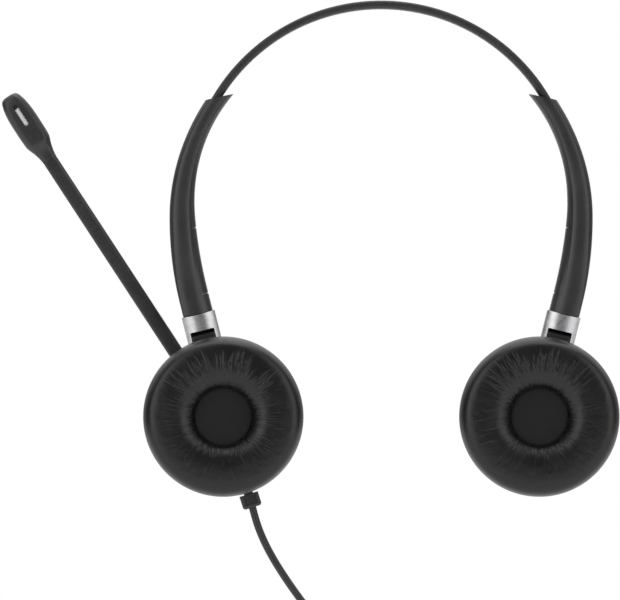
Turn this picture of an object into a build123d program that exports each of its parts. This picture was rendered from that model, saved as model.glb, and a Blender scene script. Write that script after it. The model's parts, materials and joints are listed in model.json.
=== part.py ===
from build123d import *

import os
from math import atan2, cos, pi, radians, sin, tan

# An office headset: sprung headband, two hollow arms that slide on it, two swivelling forks,
# two padded cups and a microphone boom on the left cup.
# Millimetres. +Z up, +X the right-hand side of the front view, pads face -Y.
# Origin midway between the two cup centres.
# The right-hand side is modelled; the left-hand copies are mirrored about the YZ plane.

os.makedirs("parts", exist_ok=True)

# ---------------------------------------------------------------- driving dimensions
CUSHION_R = 30.0
CUSHION_HOLE_R = 11.3
CUP_X = 59.0
CUP_LEAN = 14.0

BAND_Z = 82.35
BAND_R = 71.85
BAND_THICK = 3.0
BAND_WIDE = 10.0
BAND_END_ANGLE = 14.0
SHEATH_ROUND = 1.2
STRAP_THICK = 0.8
STRAP_WIDE = 7.0
STRAP_END_ANGLE = 5.6
STOP_ANGLES = (6.0, 10.0)
STOP_RADII = (BAND_R - 0.8, BAND_R + 1.2)
STOP_WIDE = 11.0
SLIDE_GAP = 0.15

ARM_DEPTH = 14.0
ARM_START = 42.0
ARM_STRAIGHT = 4.3
ARM_LOW_R = 148.0
ARM_LOW_LENGTH = 30.0
ARM_TOP_R = 71.0
ARM_LENGTH = 80.0
ARM_HALF_MEAN = 4.525
ARM_HALF_SWING = 1.1
ARM_BEVEL = 1.9
ARM_EDGE_ROUND = 0.8
ARM_WALL = 1.7
ARM_SPARE = 8.0
MOUTH_OUTER = (65.3, 118.5)
MOUTH_INNER = (56.2, 120.5)
PARTING_SHIFT = 0.8

BALL_R = 22.0
BALL_W = 60.4
BALL_GAP = 0.15

FORK_WIDE = 12.6
FORK_DEPTH = 13.2
FORK_CROWN_R = 9.3
FORK_CORNER = 1.0
FORK_SLOT_WIDE = 9.1
FORK_SLOT_TOP = 33.1
FORK_SLOT_CORNER = 0.35
FORK_BACK_WALL_END = 30.9
FORK_SHOULDER = 29.5
FORK_SHOULDER_DEPTH = 11.2
FORK_RIM = 39.7
SLOT_CUT = 16.0
PIN_W = 28.6
PIN_R = 1.0
PRONG_R = 3.3
BARREL_R = 4.3
BARREL_WIDE = 9.0
BARREL_GAP = 0.25
KNUCKLE_FRONT = 5.3
KNUCKLE_ROUND = 0.8
TILT_LIMIT = 15.0
RUN_GAP = 0.05

SPINDLE_R = 2.2
SPINDLE_BORE_R = 1.3
SPINDLE_TOP = 49.0
SPINDLE_HEAD_R = 3.3
SPINDLE_HEAD = 1.0
CLIP_W = 46.65
CLIP_R = 3.3
CLIP_THICK = 0.6
CLIP_MOUTH = 2.4
CLIP_GRIP = 0.35
CAVITY_W = 46.5
BELOW_ARM = 30.0

SHELL_R = 25.5
SHELL_FRONT = -5.0
SHELL_BACK = 6.5
SHELL_WALL = 1.8
SHELL_ROUND = 4.0
SEAT_STEP = 1.2
BAFFLE_R = 23.7
BAFFLE_BACK = -3.5
PAD_BACK = -6.5
PAD_FRONT = -19.0
PAD_ROUND = 5.0
DISC_R = 24.3
DISC_FOAM_R = 11.1
DISC_FRONT = -10.5

BOOM_ANGLE = 33.2
BOOM_OFFSET = 2.1
BOOM_WIDE = 5.6
BOOM_FRONT = 9.0
BOOM_BACK = 12.4
BOOM_ROUND = 1.2
BOOM_START = 6.5
BEND_S = 80.0
BEND_GAP = 0.9
KNUCKLE_R = 1.8
KNUCKLE_INSET = 0.3
MIC_TIP_S = 145.1
MIC_HALF = 5.1
MIC_FRONT = 7.5
MIC_BACK = 14.0
MIC_SPLIT = 10.7
MIC_BEVEL = 1.6
MIC_WALLS = (1.5, 1.4)
MIC_ROOM = (17.0, 6.8, 1.5)
MIC_ROOM_S = 133.0
MIC_SLOT_S = 135.5
MIC_SLOT_WIDE = 1.9
MIC_SLOT_LENGTH = 9.0

RELIEF_ANGLE = 17.7
RELIEF_FLANGE = 20.6
RELIEF_BLOCK = 30.7
RELIEF_BLOCK_LONG = 5.2
RELIEF_BLOCK_SIZE = (5.6, 7.2, 1.2)
RELIEF_GROOVE = (0.8, 4.4)
RELIEF_NECK_R = 1.75
RELIEF_FLANGE_R = 2.6
RELIEF_FLANGE_HIGH = 1.4
RELIEF_BORE_R = 0.9
CABLE_START = 31.8
CABLE_R = 1.4
CABLE_Y = 1.0
JACK_X = -19.5
JACK_TOP = -104.0

# Directions of the right-hand cup: UP runs from the cup centre into the arm, OUT is square to it.
LEAN = radians(CUP_LEAN)
UP = (sin(LEAN), 0, cos(LEAN))
OUT = (cos(LEAN), 0, -sin(LEAN))


def face_plane(depth):
    """Plane of the right cup facing the pads, local x outwards and local y towards the arm."""
    return Plane(origin=(CUP_X, depth, 0), x_dir=OUT, z_dir=(0, -1, 0))


def section_plane():
    """Plane through the right cup's axis: local x is the radius, local y points to the pads."""
    return Plane(origin=(CUP_X, 0, 0), x_dir=OUT, z_dir=(-UP[0], 0, -UP[2]))


def up_plane(height):
    """Plane square to the arm axis of the right cup: local x outwards, local y to the back."""
    origin = (CUP_X + UP[0] * height, 0, UP[2] * height)
    return Plane(origin=origin, x_dir=OUT, z_dir=UP)


def side_plane(offset):
    """Plane along the arm axis of the right cup: local x to the back, local y up the arm."""
    origin = (CUP_X + OUT[0] * offset, 0, OUT[2] * offset)
    return Plane(origin=origin, x_dir=(0, 1, 0), z_dir=OUT)


CUP_AXIS = Axis((CUP_X, 0, 0), (0, 1, 0))


def save(piece, name):
    """Label one finished piece and write its file."""
    piece.part.label = name
    export_step(piece.part, f"parts/{name}.step")


def save_pair(piece, name):
    """Write the right-hand piece and its mirrored left-hand copy."""
    save(piece, name + "_right")
    save(mirrored(piece), name + "_left")


def mirrored(piece):
    """Left-hand copy of a right-hand piece."""
    with BuildPart() as copy:
        mirror(piece.part, about=Plane.YZ)
    return copy


def ring_sector(inner, outer, start, end):
    """Outline of a ring sector about the band centre, in a front-view sketch."""
    with BuildLine(mode=Mode.PRIVATE) as outline:
        low = CenterArc((0, BAND_Z), inner, start, end - start)
        high = CenterArc((0, BAND_Z), outer, start, end - start)
        Line(low @ 0, high @ 0)
        Line(low @ 1, high @ 1)
    return make_face(outline.line, mode=Mode.PRIVATE)


def band_block(inner, outer, start, end, wide):
    """Solid that follows the band between two radii and two angles."""
    with BuildPart() as block:
        with BuildSketch(Plane.XZ.offset(-wide / 2)):
            add(ring_sector(inner, outer, start, end))
        extrude(amount=wide)
    return block.part


# ---------------------------------------------------------------- headband
def make_sheath():
    """Soft cover over the spring strap, slotted along its middle for the strap."""
    inner = BAND_R - BAND_THICK / 2
    outer = BAND_R + BAND_THICK / 2
    with BuildPart() as sheath:
        add(band_block(inner, outer, BAND_END_ANGLE, 180 - BAND_END_ANGLE, BAND_WIDE))
        fillet(sheath.edges().filter_by(GeomType.CIRCLE), radius=SHEATH_ROUND)
        add(strap_bar(), mode=Mode.SUBTRACT)
    return sheath


def strap_bar():
    """Spring strap bent to the band circle."""
    inner = BAND_R - STRAP_THICK / 2
    outer = BAND_R + STRAP_THICK / 2
    return band_block(inner, outer, STRAP_END_ANGLE, 180 - STRAP_END_ANGLE, STRAP_WIDE)


def rivet_plane(angle):
    """Plane square to the strap's radius at this angle, on the band circle."""
    out = (cos(radians(angle)), 0, sin(radians(angle)))
    origin = (BAND_R * out[0], 0, BAND_Z + BAND_R * out[2])
    return Plane(origin=origin, x_dir=(0, 1, 0), z_dir=out)


RIVET_R = 0.9
RIVET_SPREAD = 1.8
STOP_MIDDLE = sum(STOP_ANGLES) / 2


def rivet_holes(angle):
    """Two radial rivets through one stop block."""
    with BuildPart() as pair:
        with BuildSketch(rivet_plane(angle)):
            with Locations((-RIVET_SPREAD, 0), (RIVET_SPREAD, 0)):
                Circle(RIVET_R)
        extrude(amount=STOP_RADII[1] - BAND_R - RUN_GAP)
        with BuildSketch(rivet_plane(angle)):
            with Locations((-RIVET_SPREAD, 0), (RIVET_SPREAD, 0)):
                Circle(RIVET_R)
        extrude(amount=STOP_RADII[0] - BAND_R + RUN_GAP)
    return pair.part


def make_strap():
    """Spring strap with its rivet holes."""
    with BuildPart() as strap:
        add(strap_bar())
        add(rivet_holes(STOP_MIDDLE), mode=Mode.SUBTRACT)
        add(rivet_holes(180 - STOP_MIDDLE), mode=Mode.SUBTRACT)
    return strap


def make_strap_stop():
    """Block on the strap end that stops the arm from pulling off."""
    with BuildPart() as stop:
        add(band_block(*STOP_RADII, *STOP_ANGLES, STOP_WIDE))
        add(strap_bar(), mode=Mode.SUBTRACT)
        add(rivet_holes(STOP_MIDDLE), mode=Mode.SUBTRACT)
    return stop


def make_rivets():
    """All four rivets of the two stop blocks."""
    with BuildPart() as rivets:
        add(rivet_holes(STOP_MIDDLE))
        add(rivet_holes(180 - STOP_MIDDLE))
    return rivets


# ---------------------------------------------------------------- arms
def arm_point(along, aside):
    """Point in the front view, this far up the arm's centreline and this far outside it."""
    heading = pi / 2 - LEAN
    x = CUP_X + UP[0] * ARM_START
    z = UP[2] * ARM_START
    straight = min(along, ARM_STRAIGHT)
    x += straight * cos(heading)
    z += straight * sin(heading)
    if along > ARM_STRAIGHT:
        turn = min(along - ARM_STRAIGHT, ARM_LOW_LENGTH) / ARM_LOW_R
        x += ARM_LOW_R * (sin(heading + turn) - sin(heading))
        z += ARM_LOW_R * (cos(heading) - cos(heading + turn))
        heading += turn
    if along > ARM_STRAIGHT + ARM_LOW_LENGTH:
        turn = (along - ARM_STRAIGHT - ARM_LOW_LENGTH) / ARM_TOP_R
        x += ARM_TOP_R * (sin(heading + turn) - sin(heading))
        z += ARM_TOP_R * (cos(heading) - cos(heading + turn))
        heading += turn
    return (x + aside * sin(heading), z - aside * cos(heading))


def arm_half(along):
    """Half the arm's thickness at this distance up its centreline."""
    return ARM_HALF_MEAN + ARM_HALF_SWING * cos(pi * along / ARM_LENGTH)


ARM_STEPS = 9


def arm_strip(start, end, inner_side, outer_side):
    """Face that follows the arm between two sides given as offsets from its centreline."""
    stations = [start + (end - start) * i / ARM_STEPS for i in range(ARM_STEPS + 1)]
    with BuildLine(mode=Mode.PRIVATE) as outline:
        inside = Spline(*[arm_point(s, inner_side(s)) for s in stations])
        outside = Spline(*[arm_point(s, outer_side(s)) for s in stations])
        Line(inside @ 0, outside @ 0)
        Line(inside @ 1, outside @ 1)
    return make_face(outline.line, mode=Mode.PRIVATE)


def arm_solid(start, end, inner_side, outer_side, deep):
    """Solid of this depth that follows the arm between two sides."""
    with BuildPart() as strip:
        with BuildSketch(Plane.XZ.offset(-deep / 2)):
            add(arm_strip(start, end, inner_side, outer_side))
        extrude(amount=deep)
    return strip.part


def is_long(edge):
    """True for the edges that run the whole length of the arm."""
    return edge.length > ARM_LENGTH / 2


def ball(radius):
    """Ball on the arm axis that shapes the joint between arm and fork."""
    with BuildPart() as sphere:
        with Locations((CUP_X + UP[0] * BALL_W, 0, UP[2] * BALL_W)):
            Sphere(radius)
    return sphere.part


def make_arm_block():
    """Whole outer form of an arm before it is hollowed and divided."""
    with BuildPart() as block:
        add(arm_solid(-ARM_SPARE, ARM_LENGTH + ARM_SPARE, lambda s: -arm_half(s), arm_half, ARM_DEPTH))
        front = block.faces().sort_by(Axis.Y)[0]
        back = block.faces().sort_by(Axis.Y)[-1]
        chamfer((front.edges() + back.edges()).filter_by(is_long), length=ARM_BEVEL)
        fillet(block.edges().filter_by(is_long), radius=ARM_EDGE_ROUND)
        # the mouth is cut at a slant that leaves the inner side longer
        slope = atan2(MOUTH_INNER[1] - MOUTH_OUTER[1], MOUTH_INNER[0] - MOUTH_OUTER[0])
        mouth = Plane(
            origin=(MOUTH_OUTER[0], 0, MOUTH_OUTER[1]),
            x_dir=(cos(slope), 0, sin(slope)),
            z_dir=(sin(slope), 0, -cos(slope)),
        )
        split(bisect_by=mouth, keep=Keep.BOTTOM)
    return block


def below_ball():
    """Everything under the arm's rounded lower end."""
    with BuildPart() as under:
        with BuildSketch(up_plane(BELOW_ARM)):
            Rectangle(2 * BALL_R, 2 * BALL_R)
        extrude(amount=ARM_START + 2 - BELOW_ARM)
        add(ball(BALL_R), mode=Mode.SUBTRACT)
    return under.part


CHANNEL_ANGLES = (13.5, 38.0)
SLOT_ANGLES = (5.4, 26.2)
STOP_GAP = 0.2
SLOT_INNER = STOP_RADII[0] - STOP_GAP
SLOT_OUTER = STOP_RADII[1] + STOP_GAP
POCKET_ANGLES = (5.4, 14.0)
POCKET_OUTER = SLOT_OUTER + 1.2
POCKET_WIDE = 5.0
HOLLOW_END = 46.5
CHANNEL_COVER_START = 32.0
SWIVEL_COVER_START = 5.0
NOTCH_R = 0.3
SCREW_HEIGHTS = (82.0, 64.0)
SCREW_TIP_X = 76.0
SCREW_R = 0.9
SCREW_HEAD_R = 1.9
SCREW_SINK = 0.3
SCREW_HEAD_END = 1.4
SCREW_CROSS = (2.4, 0.5)
PILLAR_R = 2.6
PILLAR_X = (55.0, 85.0)


def arm_hollow():
    """Everything hollowed out of an arm: lower cavity, band channel, stop slot and spring pocket."""
    channel_inner = BAND_R - BAND_THICK / 2 - SLIDE_GAP
    channel_outer = BAND_R + BAND_THICK / 2 + SLIDE_GAP
    with BuildPart() as hollow:
        add(
            arm_solid(
                CAVITY_W - ARM_START,
                HOLLOW_END,
                lambda s: ARM_WALL - arm_half(s),
                lambda s: arm_half(s) - ARM_WALL,
                ARM_DEPTH - 2 * ARM_WALL,
            )
        )
        for height in SCREW_HEIGHTS:
            with BuildSketch(Plane.YZ.offset(PILLAR_X[0])):
                with Locations((0, height)):
                    Circle(PILLAR_R)
            extrude(amount=PILLAR_X[1] - PILLAR_X[0], mode=Mode.SUBTRACT)
        add(band_block(channel_inner, channel_outer, *CHANNEL_ANGLES, BAND_WIDE + 2 * SLIDE_GAP))
        add(band_block(SLOT_INNER, SLOT_OUTER, *SLOT_ANGLES, STOP_WIDE + 2 * STOP_GAP))
        add(band_block(SLOT_OUTER, POCKET_OUTER, *POCKET_ANGLES, POCKET_WIDE))
    return hollow.part


def inner_side():
    """Inner part of the arm's section, from the lower cover's end to beyond the mouth."""
    end = ARM_LENGTH + ARM_SPARE + 2
    return arm_solid(SWIVEL_COVER_START, end, lambda s: -ARM_SPARE, lambda s: -PARTING_SHIFT, 2 * ARM_DEPTH)


def across_arm(along):
    """Plane square to the arm's centreline, facing up the arm."""
    near = arm_point(along, -1)
    far = arm_point(along, 1)
    across = Vector(far[0] - near[0], 0, far[1] - near[1])
    middle = arm_point(along, 0)
    return Plane(origin=(middle[0], 0, middle[1]), x_dir=across, z_dir=Vector(0, 1, 0).cross(across) * -1)


def cross_bar(start_x, end_x, height, radius):
    """Round bar along X at this height in the arm."""
    with BuildPart() as bar:
        with BuildSketch(Plane.YZ.offset(start_x)):
            with Locations((0, height)):
                Circle(radius)
        extrude(amount=end_x - start_x)
    return bar.part


def inner_face_x(height):
    """X of the arm's inner face at this height, found along the centreline."""
    steps = [arm_point(0.5 * i, -arm_half(0.5 * i)) for i in range(int(2 * ARM_LENGTH))]
    return min(steps, key=lambda point: abs(point[1] - height))[0]


def cover_holes(height):
    """Head recess and clearance hole for one cover screw."""
    face_x = inner_face_x(height)
    with BuildPart() as hole:
        add(cross_bar(face_x - 3, face_x + SCREW_HEAD_END, height, SCREW_HEAD_R + 3 * RUN_GAP))
        add(cross_bar(face_x, face_x + 6, height, SCREW_R + 2 * RUN_GAP))
    return hole.part


def make_screws():
    """Both cover screws of one arm."""
    with BuildPart() as screws:
        for height in SCREW_HEIGHTS:
            face_x = inner_face_x(height)
            add(cross_bar(face_x + SCREW_SINK, face_x + SCREW_HEAD_END, height, SCREW_HEAD_R))
            add(cross_bar(face_x + SCREW_HEAD_END, SCREW_TIP_X, height, SCREW_R))
        for height in SCREW_HEIGHTS:
            with BuildSketch(Plane.YZ.offset(inner_face_x(height) + SCREW_SINK)):
                with Locations((0, height)):
                    Rectangle(SCREW_CROSS[0], SCREW_CROSS[1])
                    Rectangle(SCREW_CROSS[1], SCREW_CROSS[0])
            extrude(amount=SCREW_CROSS[1], mode=Mode.SUBTRACT)
    return screws


def make_hollow_arm(block):
    """Arm form after hollowing, rounding its lower end and boring it for the swivel spindle."""
    with BuildPart() as arm:
        add(block.part)
        add(arm_hollow(), mode=Mode.SUBTRACT)
        add(below_ball(), mode=Mode.SUBTRACT)
        with BuildSketch(up_plane(BELOW_ARM)):
            Circle(SPINDLE_R + RUN_GAP)
        extrude(amount=CAVITY_W + 1 - BELOW_ARM, mode=Mode.SUBTRACT)
        for along in (SWIVEL_COVER_START, CHANNEL_COVER_START):
            with BuildSketch(Plane.XZ.offset(-ARM_DEPTH)):
                with Locations(arm_point(along, -arm_half(along))):
                    Circle(NOTCH_R)
            extrude(amount=2 * ARM_DEPTH, mode=Mode.SUBTRACT)
    return arm


def make_arm_shell(arm):
    """Outer shell of the arm, with the pillars for the cover screws."""
    with BuildPart() as shell:
        add(arm.part)
        add(inner_side(), mode=Mode.SUBTRACT)
        for height in SCREW_HEIGHTS:
            add(cross_bar(PILLAR_X[0], SCREW_TIP_X, height, SCREW_R), mode=Mode.SUBTRACT)
    return shell


def make_channel_cover(arm):
    """Upper inner cover, which closes the band channel."""
    with BuildPart() as cover:
        add(arm.part)
        add(inner_side(), mode=Mode.INTERSECT)
        split(bisect_by=across_arm(CHANNEL_COVER_START), keep=Keep.TOP)
        add(cover_holes(SCREW_HEIGHTS[0]), mode=Mode.SUBTRACT)
    return cover


def make_swivel_cover(arm):
    """Lower inner cover, which closes the spindle cavity."""
    with BuildPart() as cover:
        add(arm.part)
        add(inner_side(), mode=Mode.INTERSECT)
        split(bisect_by=across_arm(CHANNEL_COVER_START), keep=Keep.BOTTOM)
        add(cover_holes(SCREW_HEIGHTS[1]), mode=Mode.SUBTRACT)
    return cover


DETENT_ANGLES = (5.7, 7.3, 9.7, 12.1, 13.7)
DETENT_LIFT = (0.0, 0.25, 0.85, 0.25, 0.0)
DETENT_LEAF = 0.3


def band_point(radius, angle):
    """Point in the front view at this radius and angle about the band centre."""
    return (radius * cos(radians(angle)), BAND_Z + radius * sin(radians(angle)))


def make_detent_spring():
    """Bowed leaf spring that presses on the strap stop."""
    seat_r = POCKET_OUTER - RUN_GAP
    wide = POCKET_WIDE - 2 * DETENT_LEAF
    with BuildPart() as spring:
        with BuildSketch(Plane.XZ.offset(-wide / 2)):
            with BuildLine():
                pairs = list(zip(DETENT_ANGLES, DETENT_LIFT))
                outer = Spline(*[band_point(seat_r - lift, angle) for angle, lift in pairs])
                inner = Spline(*[band_point(seat_r - DETENT_LEAF - lift, angle) for angle, lift in pairs])
                Line(outer @ 0, inner @ 0)
                Line(outer @ 1, inner @ 1)
            make_face()
        extrude(amount=wide)
    return spring


# ---------------------------------------------------------------- forks
def fork_form():
    """Fork's full section, crowned in front and behind, over its whole height."""
    edge_drop = FORK_CROWN_R - (FORK_CROWN_R**2 - (FORK_WIDE / 2) ** 2) ** 0.5
    edge_y = FORK_DEPTH / 2 - edge_drop
    side_x = FORK_WIDE / 2
    with BuildPart() as form:
        with BuildSketch(up_plane(PIN_W - PRONG_R)):
            with BuildLine():
                front = ThreePointArc((-side_x, -edge_y), (0, -FORK_DEPTH / 2), (side_x, -edge_y))
                back = ThreePointArc((-side_x, edge_y), (0, FORK_DEPTH / 2), (side_x, edge_y))
                Line(front @ 0, back @ 0)
                Line(front @ 1, back @ 1)
            form_face = make_face()
            fillet(form_face.vertices(), radius=FORK_CORNER)
        extrude(amount=BALL_W - PIN_W)
    return form.part


def make_fork():
    """Metal fork between arm and cup: dished top, slot for the hinge barrel and two prongs."""
    with BuildPart() as fork:
        add(fork_form())
        with BuildSketch(side_plane(-FORK_WIDE)):
            with Locations((0, PIN_W)):
                Circle(PRONG_R)
            with Locations((0, FORK_SHOULDER)):
                Rectangle(FORK_SHOULDER_DEPTH, RUN_GAP)
            with Locations((0, (FORK_SHOULDER + FORK_RIM) / 2 + 1)):
                Rectangle(FORK_DEPTH, FORK_RIM - FORK_SHOULDER)
            make_hull()
        extrude(amount=2 * FORK_WIDE, mode=Mode.INTERSECT)
        for top, back in ((FORK_SLOT_TOP, BARREL_R + BARREL_GAP), (FORK_BACK_WALL_END, FORK_DEPTH)):
            with BuildSketch(face_plane(back)):
                with Locations((0, top - SLOT_CUT / 2)):
                    RectangleRounded(FORK_SLOT_WIDE, SLOT_CUT, FORK_SLOT_CORNER)
            extrude(amount=back + FORK_DEPTH, mode=Mode.SUBTRACT)
        add(ball(BALL_R + BALL_GAP), mode=Mode.SUBTRACT)
        with BuildSketch(up_plane(BELOW_ARM)):
            Circle(SPINDLE_R)
        extrude(amount=BALL_R, mode=Mode.SUBTRACT)
        with BuildSketch(up_plane(FORK_SLOT_TOP - 1)):
            Circle(SPINDLE_HEAD_R)
        extrude(amount=1 + SPINDLE_HEAD + 2 * RUN_GAP, mode=Mode.SUBTRACT)
        with BuildSketch(side_plane(-FORK_WIDE)):
            with Locations((0, PIN_W)):
                Circle(PIN_R)
        extrude(amount=2 * FORK_WIDE, mode=Mode.SUBTRACT)
    return fork


def make_spindle():
    """Hollow spindle pressed into the fork, grooved for its retaining clip."""
    head_low = FORK_SLOT_TOP + 2 * RUN_GAP
    with BuildPart() as spindle:
        with BuildSketch(up_plane(head_low)):
            Circle(SPINDLE_HEAD_R)
        extrude(amount=SPINDLE_HEAD)
        with BuildSketch(up_plane(head_low + SPINDLE_HEAD)):
            Circle(SPINDLE_R)
        extrude(amount=SPINDLE_TOP - head_low - SPINDLE_HEAD)
        with BuildSketch(up_plane(CLIP_W)):
            Circle(CLIP_R)
            Circle(SPINDLE_R - CLIP_GRIP - RUN_GAP, mode=Mode.SUBTRACT)
        extrude(amount=CLIP_THICK + 2 * RUN_GAP, mode=Mode.SUBTRACT)
        with BuildSketch(up_plane(FORK_SLOT_TOP)):
            Circle(SPINDLE_BORE_R)
        extrude(amount=SPINDLE_TOP, mode=Mode.SUBTRACT)
    return spindle


def make_clip():
    """Open retaining clip in the spindle's groove."""
    with BuildPart() as clip:
        with BuildSketch(up_plane(CLIP_W + RUN_GAP)):
            Circle(CLIP_R)
            Circle(SPINDLE_R - CLIP_GRIP, mode=Mode.SUBTRACT)
            with Locations((0, CLIP_R)):
                Rectangle(CLIP_MOUTH, CLIP_R, mode=Mode.SUBTRACT)
        extrude(amount=CLIP_THICK)
    return clip


def make_tilt_pin():
    """Pin pressed through both prongs, on which the cup tilts."""
    with BuildPart() as pin:
        with BuildSketch(side_plane(2 * RUN_GAP - FORK_WIDE / 2)):
            with Locations((0, PIN_W)):
                Circle(PIN_R)
        extrude(amount=FORK_WIDE - 4 * RUN_GAP)
        chamfer(pin.edges().filter_by(GeomType.CIRCLE), length=PIN_R / 4)
    return pin


# ---------------------------------------------------------------- cups
def ring(inner, outer, front, back):
    """Plain ring or disc about the right cup's axis, between two depths."""
    with BuildPart() as band:
        with BuildSketch(face_plane(back)):
            Circle(outer)
            if inner > 0:
                Circle(inner, mode=Mode.SUBTRACT)
        extrude(amount=back - front)
    return band.part


SCREW_SPOTS = 3
BAFFLE_SCREW_RING = 20.6
BAFFLE_SCREW_R = 0.75
BAFFLE_SCREW_HEAD = (1.4, 0.6)
BAFFLE_SCREW_END = 3.0
POST_R = 2.2
CARRIER_R = 28.0
CARRIER_LIP = 0.9
CARRIER_GAP = (18.0, 12.0, 10.0)
CAP_R = 19.5
CAP_BACK = 7.2
SOUND_HOLE_R = 1.2
SOUND_RINGS = ((4.2, 6), (8.0, 12))
BASKET_R = 16.0
BASKET_STEP_R = 11.0
BASKET_BORE_R = 14.8
BASKET_RIM_BACK = -1.2
BASKET_FLOOR = -2.0
BASKET_BACK = 1.0
MAGNET_R = 7.4
MAGNET_DEPTHS = (-1.6, 2.6)
VENT_RING = 12.9
VENT_R = 0.9
HUB_SPIGOT_R = 3.5
HUB_SPIGOT_TOP = 9.6


def knuckle_front():
    """Front of the hinge knuckle, sloped by the tilt so that it clears the slot's top."""
    lean = radians(TILT_LIMIT)
    touch = (-BARREL_R * sin(lean), BARREL_R * cos(lean))
    shoulder = touch[1] - (KNUCKLE_FRONT + touch[0]) * tan(lean)
    with BuildPart() as block:
        with BuildSketch(side_plane(-BARREL_WIDE / 2)):
            with BuildLine():
                Polyline(
                    (0, PIN_W - PIN_R),
                    (0, PIN_W + touch[1]),
                    (touch[0], PIN_W + touch[1]),
                    (-KNUCKLE_FRONT, PIN_W + shoulder),
                    (-KNUCKLE_FRONT, PIN_W - PIN_R),
                    close=True,
                )
            make_face()
        extrude(amount=BARREL_WIDE)
    return block.part


def barrel():
    """Hinge barrel between the fork's prongs, with its flat-fronted knuckle."""
    with BuildPart() as drum:
        with BuildSketch(side_plane(-BARREL_WIDE / 2)):
            with Locations((0, PIN_W)):
                Circle(BARREL_R)
        extrude(amount=BARREL_WIDE)
        add(knuckle_front())
        along = Vector(*UP)
        corners = drum.edges().filter_by(lambda e: abs(e.tangent_at(0.5).dot(along)) > 0.99)
        fillet(corners.sort_by(Axis.Y)[:2], radius=KNUCKLE_ROUND)
    return drum.part


def screw_ring(radius, front, back):
    """Round bars where the baffle's screws go, between two depths."""
    with BuildPart() as bars:
        with BuildSketch(face_plane(back)):
            with PolarLocations(BAFFLE_SCREW_RING, SCREW_SPOTS, start_angle=90):
                Circle(radius)
        extrude(amount=back - front)
    return bars.part


def make_cup_shell():
    """Cup body: round tub with a seat for the baffle, screw posts and the hinge barrel."""
    with BuildPart() as shell:
        with BuildSketch(section_plane()):
            with BuildLine():
                Polyline(
                    (0, -SHELL_BACK),
                    (0, -SHELL_FRONT),
                    (SHELL_R, -SHELL_FRONT),
                    (SHELL_R, -SHELL_BACK),
                    close=True,
                )
            make_face()
        revolve(axis=CUP_AXIS)
        back_rim = shell.edges().filter_by(GeomType.CIRCLE).sort_by(Axis.Y)[-1]
        fillet(back_rim, radius=SHELL_ROUND)
        add(barrel())
        with BuildSketch(side_plane(-BARREL_WIDE / 2)):
            with Locations((0, PIN_W - BARREL_R + PIN_R / 2)):
                Rectangle(2 * BARREL_R, BARREL_R - PIN_R / 2)
        extrude(amount=BARREL_WIDE)
        floor_y = SHELL_BACK - SHELL_WALL
        add(ring(0, SHELL_R - SHELL_WALL - SEAT_STEP, BAFFLE_BACK, floor_y), mode=Mode.SUBTRACT)
        add(ring(0, BAFFLE_R + RUN_GAP, SHELL_FRONT - 1, BAFFLE_BACK), mode=Mode.SUBTRACT)
        add(screw_ring(POST_R, BAFFLE_BACK, floor_y))
        add(screw_ring(BAFFLE_SCREW_R + RUN_GAP, SHELL_FRONT, BAFFLE_SCREW_END + 0.6), mode=Mode.SUBTRACT)
        with BuildSketch(side_plane(-FORK_WIDE)):
            with Locations((0, PIN_W)):
                Circle(PIN_R + RUN_GAP)
        extrude(amount=2 * FORK_WIDE, mode=Mode.SUBTRACT)
    return shell


def make_baffle():
    """Front plate of the cup with its sound holes, driver seat and screw holes."""
    with BuildPart() as baffle:
        add(ring(0, BAFFLE_R, SHELL_FRONT, BAFFLE_BACK))
        with BuildSketch(face_plane(BAFFLE_BACK)):
            Circle(SOUND_HOLE_R)
            for ring_r, count in SOUND_RINGS:
                with PolarLocations(ring_r, count):
                    Circle(SOUND_HOLE_R)
        extrude(amount=BAFFLE_BACK - SHELL_FRONT, mode=Mode.SUBTRACT)
        add(screw_ring(BAFFLE_SCREW_R + 0.2, SHELL_FRONT, BAFFLE_BACK), mode=Mode.SUBTRACT)
    return baffle


def make_baffle_screws():
    """Three screws that hold the baffle, with flat heads in front of it."""
    head_r, head_high = BAFFLE_SCREW_HEAD
    with BuildPart() as screws:
        add(screw_ring(BAFFLE_SCREW_R, SHELL_FRONT, BAFFLE_SCREW_END))
        add(screw_ring(head_r, SHELL_FRONT - head_high, SHELL_FRONT))
    return screws


def make_driver_basket():
    """Round driver frame with vents around its magnet seat."""
    with BuildPart() as basket:
        add(ring(0, BASKET_R, BAFFLE_BACK, BASKET_RIM_BACK))
        add(ring(0, BASKET_STEP_R, BASKET_RIM_BACK, BASKET_BACK))
        add(ring(0, BASKET_BORE_R, BAFFLE_BACK, BASKET_FLOOR), mode=Mode.SUBTRACT)
        add(ring(0, MAGNET_R + 2 * RUN_GAP, BASKET_FLOOR, BASKET_BACK), mode=Mode.SUBTRACT)
        with BuildSketch(face_plane(BASKET_BACK)):
            with PolarLocations(VENT_RING, 6):
                Circle(VENT_R)
        extrude(amount=BASKET_BACK - BAFFLE_BACK, mode=Mode.SUBTRACT)
    return basket


def make_driver_cone():
    """Thin domed diaphragm behind the baffle."""
    with BuildPart() as cone:
        with BuildSketch(section_plane()):
            with BuildLine():
                Polyline(
                    (0, 3.3),
                    (6.0, 2.6),
                    (10.0, 3.1),
                    (14.7, 2.3),
                    (14.7, 2.1),
                    (10.0, 2.9),
                    (6.0, 2.4),
                    (0, 3.1),
                    close=True,
                )
            make_face()
        revolve(axis=CUP_AXIS)
    return cone


def make_driver_magnet():
    """Magnet pot in the driver frame."""
    with BuildPart() as magnet:
        add(ring(0, MAGNET_R, *MAGNET_DEPTHS))
    return magnet


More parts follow.
